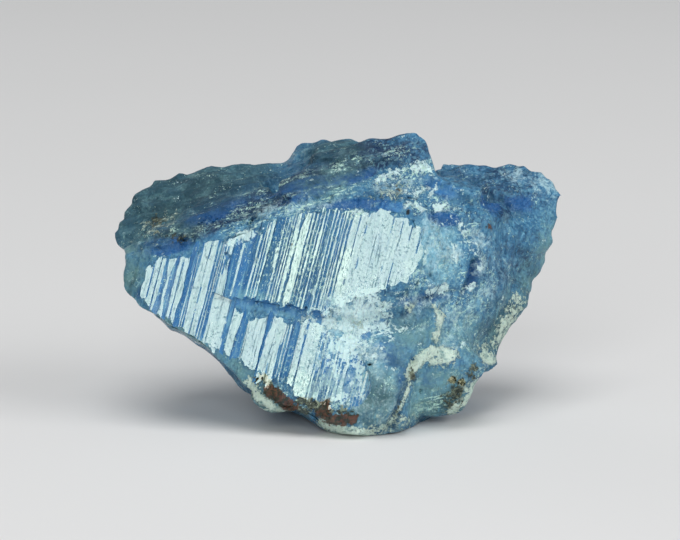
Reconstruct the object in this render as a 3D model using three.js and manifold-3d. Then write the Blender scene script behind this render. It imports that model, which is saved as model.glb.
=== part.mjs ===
// A rough tanzanite crystal: one broken block of blue zoisite, standing on its narrow foot.
// Its front and back are prism faces, striated along the crystal's c axis. The rest is fracture
// surface: a sloping top with a peak, two rear lobes, a right flank and rounded lumps at the foot.
// Millimetres, +Z up. The front looks along -Y, and the origin is the middle of the base.
import * as THREE from "three";
import { ConvexGeometry } from "three/addons/geometries/ConvexGeometry.js";
import { mergeVertices } from "three/addons/utils/BufferGeometryUtils.js";
import Module from "manifold-3d";

const wasm = await Module();
wasm.setup();

// ---- driving dimensions, in millimetres and degrees ----

const prismLean = 20; // how far the prism faces lean back from upright
const prismTurn = 5; // how far the front prism face is turned to the left
const axisTilt = 12; // the c axis, and so the striations, against upright in the front view
const prismFoot = new THREE.Vector3(0.4, 0.6, 1.2); // a point low on the front prism face
const prismThickness = 9.7; // from the front prism face to the back one
const recess = 0.36; // how far the broken front lies behind the prism face
const plateThickness = 1.1; // how deep the striated plates are set into the stone
const plateStep = 0.22; // how far the upper front plate stands proud of the lower one
const stripWidth = { least: 0.28, most: 1.23 }; // of one flat strip of a striated plate
const grooveWidth = { least: 0.08, most: 0.28 }; // between two strips
const stripDepth = 0.24; // how far the deepest strip lies below the highest

const gridStep = 0.61; // of the grid on which the broken surface is meshed
const blend = 0.4; // how softly the broken pieces run into each other
const bend = { size: 2.9, reach: 0.35 }; // of the waves that bend the pieces' flat sides
const chip = { size: 2.7, height: 0.16 }; // of the flat chips all over the broken surface
const layer = { pitch: 1.3, height: 0.17, waviness: 0.4 }; // of the ledges of the layered top
const layeredAbove = { from: 9, to: 12 }; // the heights over which the layers come in
const squareness = 2.25; // of the rounded lumps: 2 is an ellipsoid, and more is boxier
const colour = 0x5c86c4;

// Corners of the convex pieces that the block breaks down into, before they are joined.
const prismBlock = [
  [-12.5, 5.2, 9.6], [-12.7, 4.6, 8.3], [-5.8, 2.3, 3.9], [-2.2, 1.4, 2.3], [0.7, 0.7, 0.4],
  [2.9, 0.8, 1.5], [5.2, 1.9, 5.2], [5.8, 3.5, 9.8], [5.4, 4.2, 11.6], [3.9, 4.7, 12.7],
  [-0.8, 5.1, 12.6], [-5.1, 5.1, 11.5], [-11.9, 7.2, 10.4], [-8.7, 7.6, 11.3], [-4.5, 8.0, 13.1],
  [-0.5, 8.2, 14.2], [3.6, 8.0, 14.6], [5.9, 7.2, 13.7], [-11.9, 10.5, 8.3], [-8.1, 11.0, 10.6],
  [-2.3, 12.0, 12.0], [5.4, 12.0, 12.0], [-3.4, 8.4, -0.5], [-2.4, 10.6, -0.5], [5.4, 10.8, -0.5],
  [6.7, 8.4, -0.5], [4.6, 3.6, -0.4],
];
const rearBlock = [
  [-12.0, 9.3, 8.8], [-9.5, 12.0, 10.4], [-3.5, 13.4, 11.4], [4.0, 13.9, 10.8], [9.6, 13.4, 10.0],
  [12.2, 11.4, 10.0], [11.2, 10.6, 7.2], [8.4, 10.6, 3.2], [5.6, 11.0, -0.4], [-2.4, 10.8, -0.4],
  [-7.6, 10.2, 5.0], [-8.0, 5.6, 8.6], [6.0, 4.6, 8.6], [8.0, 7.6, 2.4],
];
const rightFlank = [
  [5.4, 3.9, 11.0], [5.6, 2.9, 7.7], [5.1, 2.0, 5.2], [5.8, 6.6, 14.1], [6.8, 6.7, 13.8],
  [7.8, 6.9, 13.1], [8.6, 6.8, 11.9], [9.0, 6.6, 10.7], [13.1, 11.0, 9.9], [12.0, 10.2, 7.6],
  [9.6, 8.8, 4.4], [8.2, 7.4, 2.2], [6.4, 5.0, 0.7],
];
const rearRightLobe = [
  [13.2, 11.6, 11.9], [12.9, 12.2, 13.5], [11.6, 12.6, 13.9], [9.4, 12.8, 14.0], [7.7, 12.8, 14.2],
  [6.0, 12.6, 14.2], [8.8, 8.6, 10.6], [12.8, 10.2, 10.2], [6.4, 9.4, 11.2], [12.0, 13.4, 10.6],
  [8.4, 14.2, 8.6], [4.0, 14.2, 10.2],
];
const peak = [
  [3.8, 8.6, 17.0], [4.9, 8.2, 16.6], [5.4, 7.7, 15.9], [5.7, 7.0, 15.1], [5.8, 6.4, 14.1],
  [3.3, 6.1, 13.5], [0.7, 6.6, 12.8], [-2.3, 7.6, 13.1], [2.6, 11.4, 15.6], [0.3, 11.6, 15.2],
  [-2.1, 12.3, 15.1], [-2.8, 12.4, 14.6], [-3.6, 12.0, 13.3], [5.4, 12.4, 13.0], [5.0, 13.2, 10.2],
  [-3.4, 13.2, 9.6],
];
const rearLeftLobe = [
  [-1.9, 12.2, 13.8], [-5.4, 12.4, 13.7], [-6.8, 12.4, 14.0], [-8.9, 12.2, 14.0],
  [-10.9, 11.8, 13.4], [-12.3, 11.2, 12.3], [-12.9, 10.6, 10.8], [-12.9, 9.6, 9.6],
  [-12.4, 8.4, 9.1], [-11.0, 8.0, 10.2], [-5.0, 8.6, 12.6], [-10.6, 11.6, 8.0], [-3.0, 13.6, 8.5],
  [-1.8, 13.8, 11.3],
];
// Thin layers left on the sloping top, each broken off above the next.
const topLayers = [
  [
    [-8.9, 6.4, 11.2], [-4.6, 6.2, 12.3], [-4.2, 8.6, 13.9], [-8.6, 8.4, 12.2], [-9.6, 7.4, 11.5],
    [-6.6, 9.6, 10.2], [-6.2, 6.2, 9.8],
  ],
  [
    [-3.2, 5.7, 13.0], [0.6, 5.5, 13.5], [3.0, 5.6, 13.5], [2.6, 7.4, 14.7], [-1.6, 8.6, 14.9],
    [-3.9, 7.8, 14.1], [-1.0, 7.0, 10.5], [2.0, 6.0, 10.8],
  ],
  [
    [-1.2, 7.4, 15.0], [1.6, 7.0, 15.3], [4.4, 7.2, 15.6], [3.4, 8.8, 16.2], [-0.4, 10.4, 15.9],
    [-1.8, 9.0, 15.1], [1.4, 8.0, 12.0],
  ],
  [
    [5.9, 6.2, 13.9], [8.0, 6.8, 13.3], [8.6, 7.8, 13.3], [7.4, 9.0, 13.7], [6.1, 8.2, 14.3],
    [7.2, 7.4, 10.8],
  ],
];

// Rounded lumps and grains of the foot: centre, then half sizes along X, Y and Z.
const lumps = [
  { at: [2.3, 3.2, 2.6], half: [2.1, 2.4, 3.2] },
  { at: [5.6, 4.6, 3.0], half: [2.3, 2.4, 2.7] },
  { at: [3.2, 5.2, 6.4], half: [3.4, 2.4, 3.0] },
  { at: [-3.8, 3.0, 2.2], half: [1.2, 1.2, 0.8] },
  { at: [8.4, 7.8, 3.6], half: [0.8, 1.1, 0.8] },
  { at: [-8.4, 9.6, 8.0], half: [3.0, 2.8, 2.6] },
  { at: [1.6, 11.2, 3.0], half: [3.2, 2.0, 3.6] },
];
// Shell-shaped hollows where pieces have come off, in the same form.
const hollows = [
  { at: [11.4, 3.6, 10.2], half: [3.2, 3.0, 3.4] },
  { at: [-4.6, 16.2, 8.2], half: [4.6, 3.6, 3.4] },
  { at: [8.6, 16.0, 6.4], half: [4.2, 3.4, 3.6] },
  { at: [-9.4, 5.6, 14.4], half: [3.4, 2.6, 2.6] },
  { at: [8.6, 9.8, 16.2], half: [2.2, 2.4, 2.9] },
];

// Outlines of the striated plates, in (across, up the c axis) from prismFoot.
const upperFront = [
  [-9.3, 6.4], [-9.5, 8.2], [-8.7, 8.9], [-7.4, 10.0], [-5.5, 10.9], [-2.1, 11.7], [-0.3, 12.2],
  [0.9, 11.9], [1.9, 11.0], [2.3, 9.9], [2.1, 8.7], [1.2, 7.8], [-0.8, 7.0], [-1.8, 6.4],
  [-2.5, 5.5], [-4.7, 5.5], [-7.7, 5.3], [-8.6, 5.5],
];
const lowerFront = [
  [-13.1, 3.9], [-13.5, 5.4], [-13.2, 6.3], [-11.2, 6.8], [-10.5, 8.0], [-9.4, 8.3], [-8.9, 5.2],
  [-7.7, 4.8], [-6.2, 4.6], [-4.7, 4.8], [-3.3, 4.9], [-2.1, 4.6], [-1.1, 4.0], [-0.3, 3.2],
  [0.5, 2.4], [0.7, 1.4], [-0.2, 0.6], [-2.7, -0.1], [-5.1, 0.4], [-6.6, 0.9], [-9.0, 2.2],
  [-11.6, 3.2],
];
const rearFace = [
  [-0.8, 6.0], [-1.2, 8.6], [0.6, 10.8], [3.6, 11.4], [6.4, 11.0], [8.6, 9.8], [7.9, 7.6],
  [5.8, 5.8], [2.4, 4.6],
];

// ---- meshes and solids ----

function solidOf(geometry) {
  const bare = geometry.clone();
  bare.deleteAttribute("normal");
  bare.deleteAttribute("uv");
  const merged = mergeVertices(bare, 1e-4);
  return new wasm.Manifold(
    new wasm.Mesh({
      numProp: 3,
      vertProperties: merged.attributes.position.array,
      triVerts: new Uint32Array(merged.index.array),
    }),
  );
}

function geometryOf(solid) {
  const mesh = solid.getMesh();
  return new THREE.BufferGeometry()
    .setAttribute("position", new THREE.BufferAttribute(new Float32Array(mesh.vertProperties), 3))
    .setIndex(new THREE.BufferAttribute(new Uint32Array(mesh.triVerts), 1));
}

// Meshes the surface where a field is zero: one point in each grid cell that the surface crosses,
// and a square between four cells around each grid edge that it crosses.
function meshField(field, box, step) {
  const size = box.getSize(new THREE.Vector3()).divideScalar(step).toArray().map(Math.ceil);
  const stride = [1, size[0] + 1, (size[0] + 1) * (size[1] + 1)];
  const values = new Float32Array(stride[2] * (size[2] + 1));
  const nodeAt = (cell) => cell[0] * stride[0] + cell[1] * stride[1] + cell[2] * stride[2];
  const placeOf = (cell) => new THREE.Vector3(...cell).multiplyScalar(step).add(box.min);
  eachCell(size.map((n) => n + 1), (cell) => {
    values[nodeAt(cell)] = field(placeOf(cell));
  });
  while (closeSaddles(values, size, stride));

  const points = [];
  const pointOf = new Map();
  eachCell(size, (cell) => {
    const crossings = crossingsOf(values, nodeAt(cell), stride);
    if (crossings.length === 0) return;
    pointOf.set(nodeAt(cell), points.length);
    const places = crossings.map((crossing) => crossing.multiplyScalar(step).add(placeOf(cell)));
    points.push(pointOn(field, places, step));
  });
  const faces = [];
  for (const [u, v, w] of [[0, 1, 2], [1, 2, 0], [2, 0, 1]]) {
    eachCell(size, (cell) => {
      const node = nodeAt(cell);
      const [here, next] = [values[node] < 0, values[node + stride[u]] < 0];
      if (here === next || cell[v] === 0 || cell[w] === 0) return;
      const ring = [0, stride[v], stride[v] + stride[w], stride[w]].map((n) => pointOf.get(node - n));
      const [a, b, c, d] = here ? ring : ring.reverse();
      faces.push(a, b, c, a, c, d);
    });
  }
  return new THREE.BufferGeometry().setFromPoints(points).setIndex(faces);
}

function eachCell([nx, ny, nz], visit) {
  for (let k = 0; k < nz; k++) {
    for (let j = 0; j < ny; j++) {
      for (let i = 0; i < nx; i++) visit([i, j, k]);
    }
  }
}

// A grid square whose two diagonals disagree would pinch the surface, so it is filled.
function closeSaddles(values, size, stride) {
  const justInside = -0.01;
  let changed = false;
  for (const [u, v] of [[0, 1], [1, 2], [0, 2]]) {
    eachCell(size, (cell) => {
      const node = cell[0] * stride[0] + cell[1] * stride[1] + cell[2] * stride[2];
      const square = [node, node + stride[u], node + stride[u] + stride[v], node + stride[v]];
      const [a, b, c, d] = square.map((n) => values[n] < 0);
      if (a !== c || b !== d || a === b) return;
      for (const n of square) values[n] = Math.min(values[n], justInside);
      changed = true;
    });
  }
  return changed;
}

// The places where the surface crosses a cell's edges, in cell widths.
function crossingsOf(values, node, stride) {
  const crossings = [];
  for (const [u, v, w] of [[0, 1, 2], [1, 2, 0], [2, 0, 1]]) {
    for (const [j, k] of [[0, 0], [1, 0], [0, 1], [1, 1]]) {
      const start = values[node + j * stride[v] + k * stride[w]];
      const end = values[node + j * stride[v] + k * stride[w] + stride[u]];
      if (start < 0 === end < 0) continue;
      const place = new THREE.Vector3().setComponent(u, start / (start - end));
      crossings.push(place.setComponent(v, j).setComponent(w, k));
    }
  }
  return crossings;
}

// The point of a cell nearest to the planes that touch the surface where it crosses the edges, so
// that ridges and corners stay sharp. It stays within half a cell of the crossings' middle.
function pointOn(field, places, step) {
  const middle = new THREE.Vector3();
  for (const place of places) middle.addScaledVector(place, 1 / places.length);
  const normals = places.map((place) => slopeOf(field, place).normalize());
  const point = middle.clone();
  const [rounds, eagerness] = [8, 1.5];
  for (let round = 0; round < rounds; round++) {
    const pull = new THREE.Vector3();
    places.forEach((place, i) => {
      pull.addScaledVector(normals[i], normals[i].dot(place.clone().sub(point)) / places.length);
    });
    point.addScaledVector(pull, eagerness);
  }
  return middle.add(point.sub(middle).clampLength(0, step / 2));
}

// Which way the field grows, and how fast.
function slopeOf(field, point) {
  const probe = 0.06;
  const value = field(point);
  const slope = new THREE.Vector3();
  for (const axis of ["x", "y", "z"]) {
    const beside = point.clone();
    beside[axis] += probe;
    slope[axis] = (field(beside) - value) / probe;
  }
  return slope;
}

// ---- unevenness ----

// A number from 0 to 1 that belongs to one point of the whole-number lattice.
function latticeValue(x, y, z) {
  let h = Math.imul(x, 374761393) ^ Math.imul(y, 668265263) ^ Math.imul(z, 1274126177);
  h = Math.imul(h ^ (h >>> 13), 1103515245);
  return ((h ^ (h >>> 16)) >>> 0) / 4294967296;
}

// Smooth noise from -1 to 1.
function noise(x, y, z) {
  const cell = [x, y, z].map(Math.floor);
  const [fx, fy, fz] = [x - cell[0], y - cell[1], z - cell[2]].map((t) => t * t * (3 - 2 * t));
  let sum = 0;
  for (let corner = 0; corner < 8; corner++) {
    const [i, j, k] = [corner & 1, (corner >> 1) & 1, corner >> 2];
    const weight = (i ? fx : 1 - fx) * (j ? fy : 1 - fy) * (k ? fz : 1 - fz);
    sum += weight * latticeValue(cell[0] + i, cell[1] + j, cell[2] + k);
  }
  return 2 * sum - 1;
}

// Flat chips: space falls into cells around scattered seeds, and each cell has its own height and
// its own tilt. Returns a height from about -1 to 1.
function chips(point) {
  const scaled = point.clone().divideScalar(chip.size);
  const home = scaled.toArray().map(Math.floor);
  let nearest = Infinity;
  let height = 0;
  eachCell([3, 3, 3], (offset) => {
    const cell = home.map((n, axis) => n + offset[axis] - 1);
    const [x, y, z] = [31, 62, 93].map((salt) => latticeValue(cell[0] + salt, cell[1], cell[2]));
    const away = new THREE.Vector3(cell[0] + x, cell[1] + y, cell[2] + z).sub(scaled);
    if (away.length() >= nearest) return;
    nearest = away.length();
    const tilt = new THREE.Vector3(y - 0.5, z - 0.5, x - 0.5);
    height = 2 * x - 1 + away.dot(tilt);
  });
  return height;
}

// Ledges: how high a point of the surface is raised where the stone breaks from layer to layer,
// from 1 at a layer's lower side down to -1 at its upper one.
function ledges(point) {
  const wave = noise(point.x / bend.size, point.y / bend.size, point.z / bend.size + 60);
  const layers = point.dot(layerNormal) / layer.pitch + layer.waviness * wave;
  return 1 - 2 * (layers - Math.floor(layers));
}

// ---- the prism faces ----

const radians = THREE.MathUtils.degToRad;
const outward = new THREE.Vector3(
  -Math.sin(radians(prismTurn)) * Math.cos(radians(prismLean)),
  -Math.cos(radians(prismTurn)) * Math.cos(radians(prismLean)),
  Math.sin(radians(prismLean)),
);
const cAxis = new THREE.Vector3(Math.sin(radians(axisTilt)), 0, Math.cos(radians(axisTilt)));
cAxis.addScaledVector(outward, -cAxis.dot(outward)).normalize();
const across = new THREE.Vector3().crossVectors(cAxis, outward);
const layerNormal = new THREE.Vector3(-0.26, 0.25, 0.93).normalize(); // of the layered top

function inward(distance) {
  return prismFoot.clone().addScaledVector(outward, -distance);
}

// Places (across, c axis, outward) at a point of the front face, or of the back one facing -1.
function frameOn(point, facing) {
  const side = across.clone().multiplyScalar(facing);
  const out = outward.clone().multiplyScalar(facing);
  return new THREE.Matrix4().makeBasis(side, cAxis, out).setPosition(point);
}

// Strips that run along the c axis: where each starts and ends across the face, and its depth.
function strips(from, to, seed) {
  const found = [];
  for (let start = from, i = 0; start < to; i++) {
    const [wide, deep, apart] = [1, 2, 3].map((salt) => latticeValue(i, seed, salt));
    const end = start + THREE.MathUtils.lerp(stripWidth.least, stripWidth.most, wide ** 2);
    found.push({ start, end: Math.min(end, to), depth: stripDepth * deep });
    start = end + THREE.MathUtils.lerp(grooveWidth.least, grooveWidth.most, apart ** 2);
  }
  return found;
}

// A long bar behind a face, with the strips on its outer side.
function striatedBar(seed) {
  const [halfWidth, halfLength] = [15, 16];
  const section = new THREE.Shape();
  section.moveTo(-halfWidth, -plateThickness);
  for (const { start, end, depth } of strips(-halfWidth, halfWidth, seed)) {
    section.lineTo(start, -depth);
    section.lineTo(end, -depth);
  }
  section.lineTo(halfWidth, -plateThickness);
  const bar = new THREE.ExtrudeGeometry(section, { depth: 2 * halfLength, bevelEnabled: false });
  return bar.translate(0, 0, -halfLength).rotateX(Math.PI / 2);
}

// A striated plate: the bar within an outline, set at a point of a prism face.
function plate(outline, seed, point, facing) {
  const shape = new THREE.Shape(outline.map(([x, y]) => new THREE.Vector2(x, y)));
  const column = new THREE.ExtrudeGeometry(shape, { depth: 4 * plateThickness, bevelEnabled: false });
  column.translate(0, 0, -2 * plateThickness);
  const frame = frameOn(point, facing);
  return solidOf(striatedBar(seed).applyMatrix4(frame)).intersect(solidOf(column.applyMatrix4(frame)));
}

// ---- the crystal ----

// The flat sides of the convex piece with these corners.
function sidesOf(corners) {
  const { position } = new ConvexGeometry(corners.map((c) => new THREE.Vector3(...c))).attributes;
  const alike = 0.9995; // the cosine between two triangles of one side
  const sides = [];
  for (let i = 0; i < position.count; i += 3) {
    const [a, b, c] = [0, 1, 2].map((k) => new THREE.Vector3().fromBufferAttribute(position, i + k));
    const side = new THREE.Plane().setFromCoplanarPoints(a, b, c);
    if (!sides.some((known) => known.normal.dot(side.normal) > alike)) sides.push(side);
  }
  return sides;
}

const blockSides = sidesOf(prismBlock);
const otherSides = [rearBlock, rightFlank, rearRightLobe, peak, rearLeftLobe].map(sidesOf);
const layerSides = topLayers.map(sidesOf);
const brokenFront = new THREE.Plane().setFromNormalAndCoplanarPoint(outward, inward(recess));

// How far a point lies outside a convex piece; negative inside it.
function beyond(sides, point) {
  return Math.max(...sides.map((side) => side.distanceToPoint(point)));
}

// The same for a rounded lump.
function beyondLump({ at, half }, point) {
  const reach = at.map((centre, axis) => Math.abs(point.getComponent(axis) - centre) / half[axis]);
  const sum = reach.reduce((total, share) => total + share ** squareness, 0);
  return (sum ** (1 / squareness) - 1) * Math.min(...half);
}

// The smaller of two distances, with a soft change from one to the other.
function softMin(a, b) {
  const share = THREE.MathUtils.clamp(0.5 + (b - a) / (2 * blend), 0, 1);
  return THREE.MathUtils.lerp(b, a, share) - blend * share * (1 - share);
}

// The point from which a bent side is measured.
function bent(point) {
  const [x, y, z] = point.toArray().map((value) => value / bend.size);
  const shift = new THREE.Vector3(noise(x, y, z), noise(x + 40, y, z), noise(x, y + 40, z));
  return point.clone().addScaledVector(shift, bend.reach);
}

// How far a point lies outside the broken stone; negative inside it.
function brokenStone(point) {
  const place = bent(point);
  let far = Math.max(beyond(blockSides, place), brokenFront.distanceToPoint(place));
  for (const sides of otherSides) far = softMin(far, beyond(sides, place));
  for (const sides of layerSides) far = Math.min(far, beyond(sides, place));
  for (const lump of lumps) far = softMin(far, beyondLump(lump, place));
  for (const hollow of hollows) far = -softMin(-far, beyondLump(hollow, place));
  const layered = THREE.MathUtils.smoothstep(place.z, layeredAbove.from, layeredAbove.to);
  return far - chip.height * chips(place) - layered * layer.height * ledges(place);
}

function crystal() {
  const around = new THREE.Box3(new THREE.Vector3(-15, -2, -2), new THREE.Vector3(15, 17, 19));
  const ground = new THREE.BoxGeometry(60, 60, 10).translate(0, 0, -5);
  const stone = solidOf(meshField(brokenStone, around, gridStep))
    .add(plate(lowerFront, 3, prismFoot, 1))
    .add(plate(upperFront, 5, inward(-plateStep), 1))
    .add(plate(rearFace, 8, inward(prismThickness), -1))
    .subtract(solidOf(ground));
  return geometryOf(stone);
}

const geometry = crystal();
geometry.computeBoundingBox();
const middle = geometry.boundingBox.getCenter(new THREE.Vector3());
geometry.translate(-middle.x, -middle.y, -geometry.boundingBox.min.z);

const material = new THREE.MeshStandardMaterial({ color: colour, roughness: 0.45, metalness: 0 });
const tanzanite = new THREE.Mesh(geometry, material);
tanzanite.name = "tanzanite_crystal";

const part = new THREE.Group();
part.add(tanzanite);

export default part;
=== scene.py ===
import bpy
import bmesh
import math
import numpy as np
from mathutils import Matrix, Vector
from mathutils.bvhtree import BVHTree


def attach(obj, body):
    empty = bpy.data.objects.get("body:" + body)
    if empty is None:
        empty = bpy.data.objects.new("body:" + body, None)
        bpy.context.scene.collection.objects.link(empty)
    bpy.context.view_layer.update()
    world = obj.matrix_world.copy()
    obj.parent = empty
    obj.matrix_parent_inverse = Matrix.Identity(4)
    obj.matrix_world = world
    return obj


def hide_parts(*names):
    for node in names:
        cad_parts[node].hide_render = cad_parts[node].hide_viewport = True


# A rough tanzanite crystal on a pale floor. Settings are in millimetres and degrees, and a place
# given as x and y is a point of the 680 x 540 view, counted from its top left corner.

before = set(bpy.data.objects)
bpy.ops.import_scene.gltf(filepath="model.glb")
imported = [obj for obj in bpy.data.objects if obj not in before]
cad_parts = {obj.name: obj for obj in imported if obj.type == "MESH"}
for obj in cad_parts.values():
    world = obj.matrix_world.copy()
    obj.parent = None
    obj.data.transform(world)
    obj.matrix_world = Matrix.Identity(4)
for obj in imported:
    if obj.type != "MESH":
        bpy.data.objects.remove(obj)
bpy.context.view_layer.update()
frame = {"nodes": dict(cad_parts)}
mm = 0.001
print("frame loaded:", ", ".join(frame["nodes"]))


# camera

cameraSettings = dict(
    lens=180.0,
    sensor=36.0,
    distance=199.0,             # from the point that it looks at
    elevation=12.0,
    lookAt=(-0.05, 0.0, 8.48),
    viewWidth=680,
    viewHeight=540,
)

tilt = math.radians(cameraSettings["elevation"])
pxPerSlope = cameraSettings["viewWidth"] / cameraSettings["sensor"] * cameraSettings["lens"]
middleX, middleY = cameraSettings["viewWidth"] / 2, cameraSettings["viewHeight"] / 2
viewSide = np.array([1.0, 0.0, 0.0])
viewUp = np.array([0.0, math.sin(tilt), math.cos(tilt)])
viewBack = np.array([0.0, -math.cos(tilt), math.sin(tilt)])  # from the stone to the camera
eye = np.array(cameraSettings["lookAt"]) + viewBack * cameraSettings["distance"]


def makeCamera(settings):
    data = bpy.data.cameras.new("stoneCamera")
    data.lens = settings["lens"]
    data.sensor_width = settings["sensor"]
    data.clip_start = 0.005
    data.clip_end = 20.0
    camera = bpy.data.objects.new("stoneCamera", data)
    camera.location = Vector(eye) * mm
    camera.rotation_euler = (math.radians(90 - settings["elevation"]), 0, 0)
    bpy.context.scene.collection.objects.link(camera)
    bpy.context.scene.camera = camera


def seenAt(points):
    # where points fall in the view, and how far in front of the camera they are
    away = points - eye
    depth = -(away @ viewBack)
    scale = pxPerSlope / depth
    return middleX + (away @ viewSide) * scale, middleY - (away @ viewUp) * scale, depth


def sightLine(x, y):
    # direction from the camera through a point of the view
    right, up = (x - middleX) / pxPerSlope, (middleY - y) / pxPerSlope
    return Vector(viewSide * right + viewUp * up - viewBack).normalized()


makeCamera(cameraSettings)


# seeded noise for the shape of the stone

def scatter(cell, seed):
    # an even random number from 0 to 1 for each lattice cell
    cell = cell.astype(np.int64).astype(np.uint64)
    n = cell[..., 0] * np.uint64(0x9E3779B97F4A7C15) + np.uint64(seed * 7919 + 12345)
    for k in (1, 2):
        n = (n ^ (n >> np.uint64(29))) * np.uint64(0xBF58476D1CE4E5B9)
        n = n + cell[..., k] * np.uint64(0x94D049BB133111EB)
    n = (n ^ (n >> np.uint64(31))) * np.uint64(0xD6E8FEB86659FD93)
    return ((n ^ (n >> np.uint64(32))) >> np.uint64(11)).astype(float) / 2.0 ** 53


def waves(points, size, seed):
    # smooth noise from -1 to 1, with swells about this size
    place = points / size
    cell = np.floor(place)
    part = place - cell
    part = part * part * part * (part * (part * 6 - 15) + 10)
    total = np.zeros(len(points))
    for corner in np.ndindex(2, 2, 2):
        share = np.prod(np.where(np.array(corner) == 1, part, 1 - part), axis=1)
        total += share * scatter(cell + np.array(corner), seed)
    return total * 2 - 1


def rough(points, size, seed, octaves=3):
    # waves on waves, each half the size and half the height of the last
    total, height = np.zeros(len(points)), 1.0
    for octave in range(octaves):
        total += waves(points, size * 0.5 ** octave, seed + octave) * height
        height *= 0.5
    return total


def scoops(points, size, seed, lean=0.5):
    # shell-shaped hollows that meet in sharp crests: 0 in the hollows. Gives the height, and the
    # distance to the next hollow
    place = points / size
    base = np.floor(place)
    lowest = np.full(len(points), 9.0)
    second = np.full(len(points), 9.0)
    for step in np.ndindex(3, 3, 3):
        cell = base + np.array(step) - 1
        spot = cell + np.stack([scatter(cell, seed + k) for k in range(3)], axis=1)
        way = np.stack([scatter(cell, seed + 7 + k) for k in range(3)], axis=1) * 2 - 1
        gap = place - spot
        rise = np.sum(gap * gap, axis=1) + np.sum(gap * way, axis=1) * lean
        second = np.minimum(second, np.maximum(lowest, rise))
        lowest = np.minimum(lowest, rise)
    return lowest, (second - lowest) * size


def smooth(value, low, high):
    part = np.clip((value - low) / (high - low), 0, 1)
    return part * part * (3 - 2 * part)


# the prism face: its place, its outlines and its striae

prismFace = dict(
    foot=(0.26, -6.766, 1.2),   # a point low on the face, from which across and up are measured
    lean=20.0,                  # from upright
    turn=5.0,                   # to the left
    axisTilt=12.0,              # the c axis, along which the striae run, from upright
    thickness=9.7,              # to the face opposite
    step=0.22,                  # the upper part stands proud of the lower one
    proud=0.5,                  # how far the stone is raised before the face is cut flat
    bevel=2.2,                  # how wide the face breaks away along its outline
    falloff=0.35,               # how steeply at first
    curl=0.9,                   # and how soon it turns down
    ledge=1.3,                  # widest gap between the two steps that counts as their ledge
    ledgeLevel=-0.03,
    ledgeFall=0.16,
    deepest=2.6,                # stone that lies deeper than this isn't raised
    ragged=dict(swells=0.2, ends=0.26, crumbs=0.2, endWidth=0.2),      # how far the outline wanders
    rowLength=0.17,             # between two points along a stria
    wander=0.42,                # how far a stria's border strays, as a share of its width
    wanderLength=2.4,           # over what length it does so
    nicks=0.3,                  # small nicks in the borders
    gap=0.003,                  # between two facets
    swell=0.008,                # how uneven the sloping facets are
    reach=5.0,                  # how far the cutters stand out in front
)

# how deep the facets of each kind lie, and how readily they fade out along their length
striaDepths = dict(
    level=(-0.02, 0.015),       # of a group of strips
    fineLevel=(-0.03, 0.01),
    slope=(0.3, 0.42),          # drop of a slope, for its width
    slopeTop=-0.02,
    groove=-0.06,
    fades=dict(slope=0.05, groove=0.72, cut=0.35, fine=0.12),
    leaningWidth=(0.06, 0.17),
    flatWidth=(0.04, 0.10),
    leans=(-0.5, 0.5, 0.42),
)

# outlines and striae, across the face and up the c axis from its foot
upperOutline = [
    (-8.9, 5.6), (-9.2, 8.1), (-8.6, 8.3), (-7.3, 8.9), (-7.1, 9.4), (-6.5, 10.1), (-5.3, 10.9),
    (-3.6, 11.4), (-2.8, 11.3), (-2.2, 11.6), (-0.9, 12.3), (-0.2, 12.25), (0.35, 12.1), (0.9, 11.8),
    (1.45, 11.3), (1.85, 10.8), (2.1, 10.4), (2.05, 9.8), (1.85, 9.3), (1.55, 8.85), (1.1, 8.4),
    (0.7, 8.0), (0.3, 7.65), (-0.4, 7.3), (-1.2, 6.9), (-1.6, 6.5), (-2.3, 6.1), (-2.6, 5.6),
    (-3.7, 5.7), (-4.6, 5.6), (-6.5, 5.5), (-7.6, 5.4), (-8.4, 5.4),
]
lowerOutline = [
    (-13.0, 3.95), (-13.4, 4.6), (-13.0, 5.0), (-13.3, 5.6), (-13.3, 6.1), (-13.1, 6.4), (-12.0, 6.7),
    (-11.2, 6.7), (-11.0, 6.9), (-10.8, 7.5), (-10.4, 8.1), (-8.6, 8.7), (-8.2, 5.3), (-8.1, 5.0),
    (-7.7, 4.7), (-6.8, 4.4), (-5.7, 4.9), (-5.3, 4.7), (-4.5, 4.5), (-3.2, 4.8), (-2.4, 4.7),
    (-2.0, 4.4), (-1.2, 3.9), (-0.4, 3.2), (0.1, 2.6), (0.3, 2.0), (0.1, 1.4), (-0.4, 1.1),
    (-1.4, 0.9), (-2.6, 0.7), (-3.5, 0.9), (-4.0, 1.3), (-5.2, 1.1), (-5.6, 1.5), (-6.2, 1.5),
    (-6.7, 1.8), (-7.6, 1.85), (-8.7, 2.15), (-10.1, 2.75), (-10.8, 3.0), (-11.7, 3.3), (-12.3, 3.6),
]
rearOutline = [
    (-0.8, 6.0), (-1.2, 8.6), (0.6, 10.8), (3.6, 11.4), (6.4, 11.0), (8.6, 9.8), (7.9, 7.6),
    (5.8, 5.8), (2.4, 4.6),
]
ledgeLine = [(-9.4, 5.3), (-7.7, 5.05), (-6.2, 4.98), (-4.7, 5.15), (-3.3, 5.2), (-2.3, 5.1),
             (-1.5, 5.3), (0.0, 5.4), (2.0, 6.3), (3.6, 7.0)]

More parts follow.
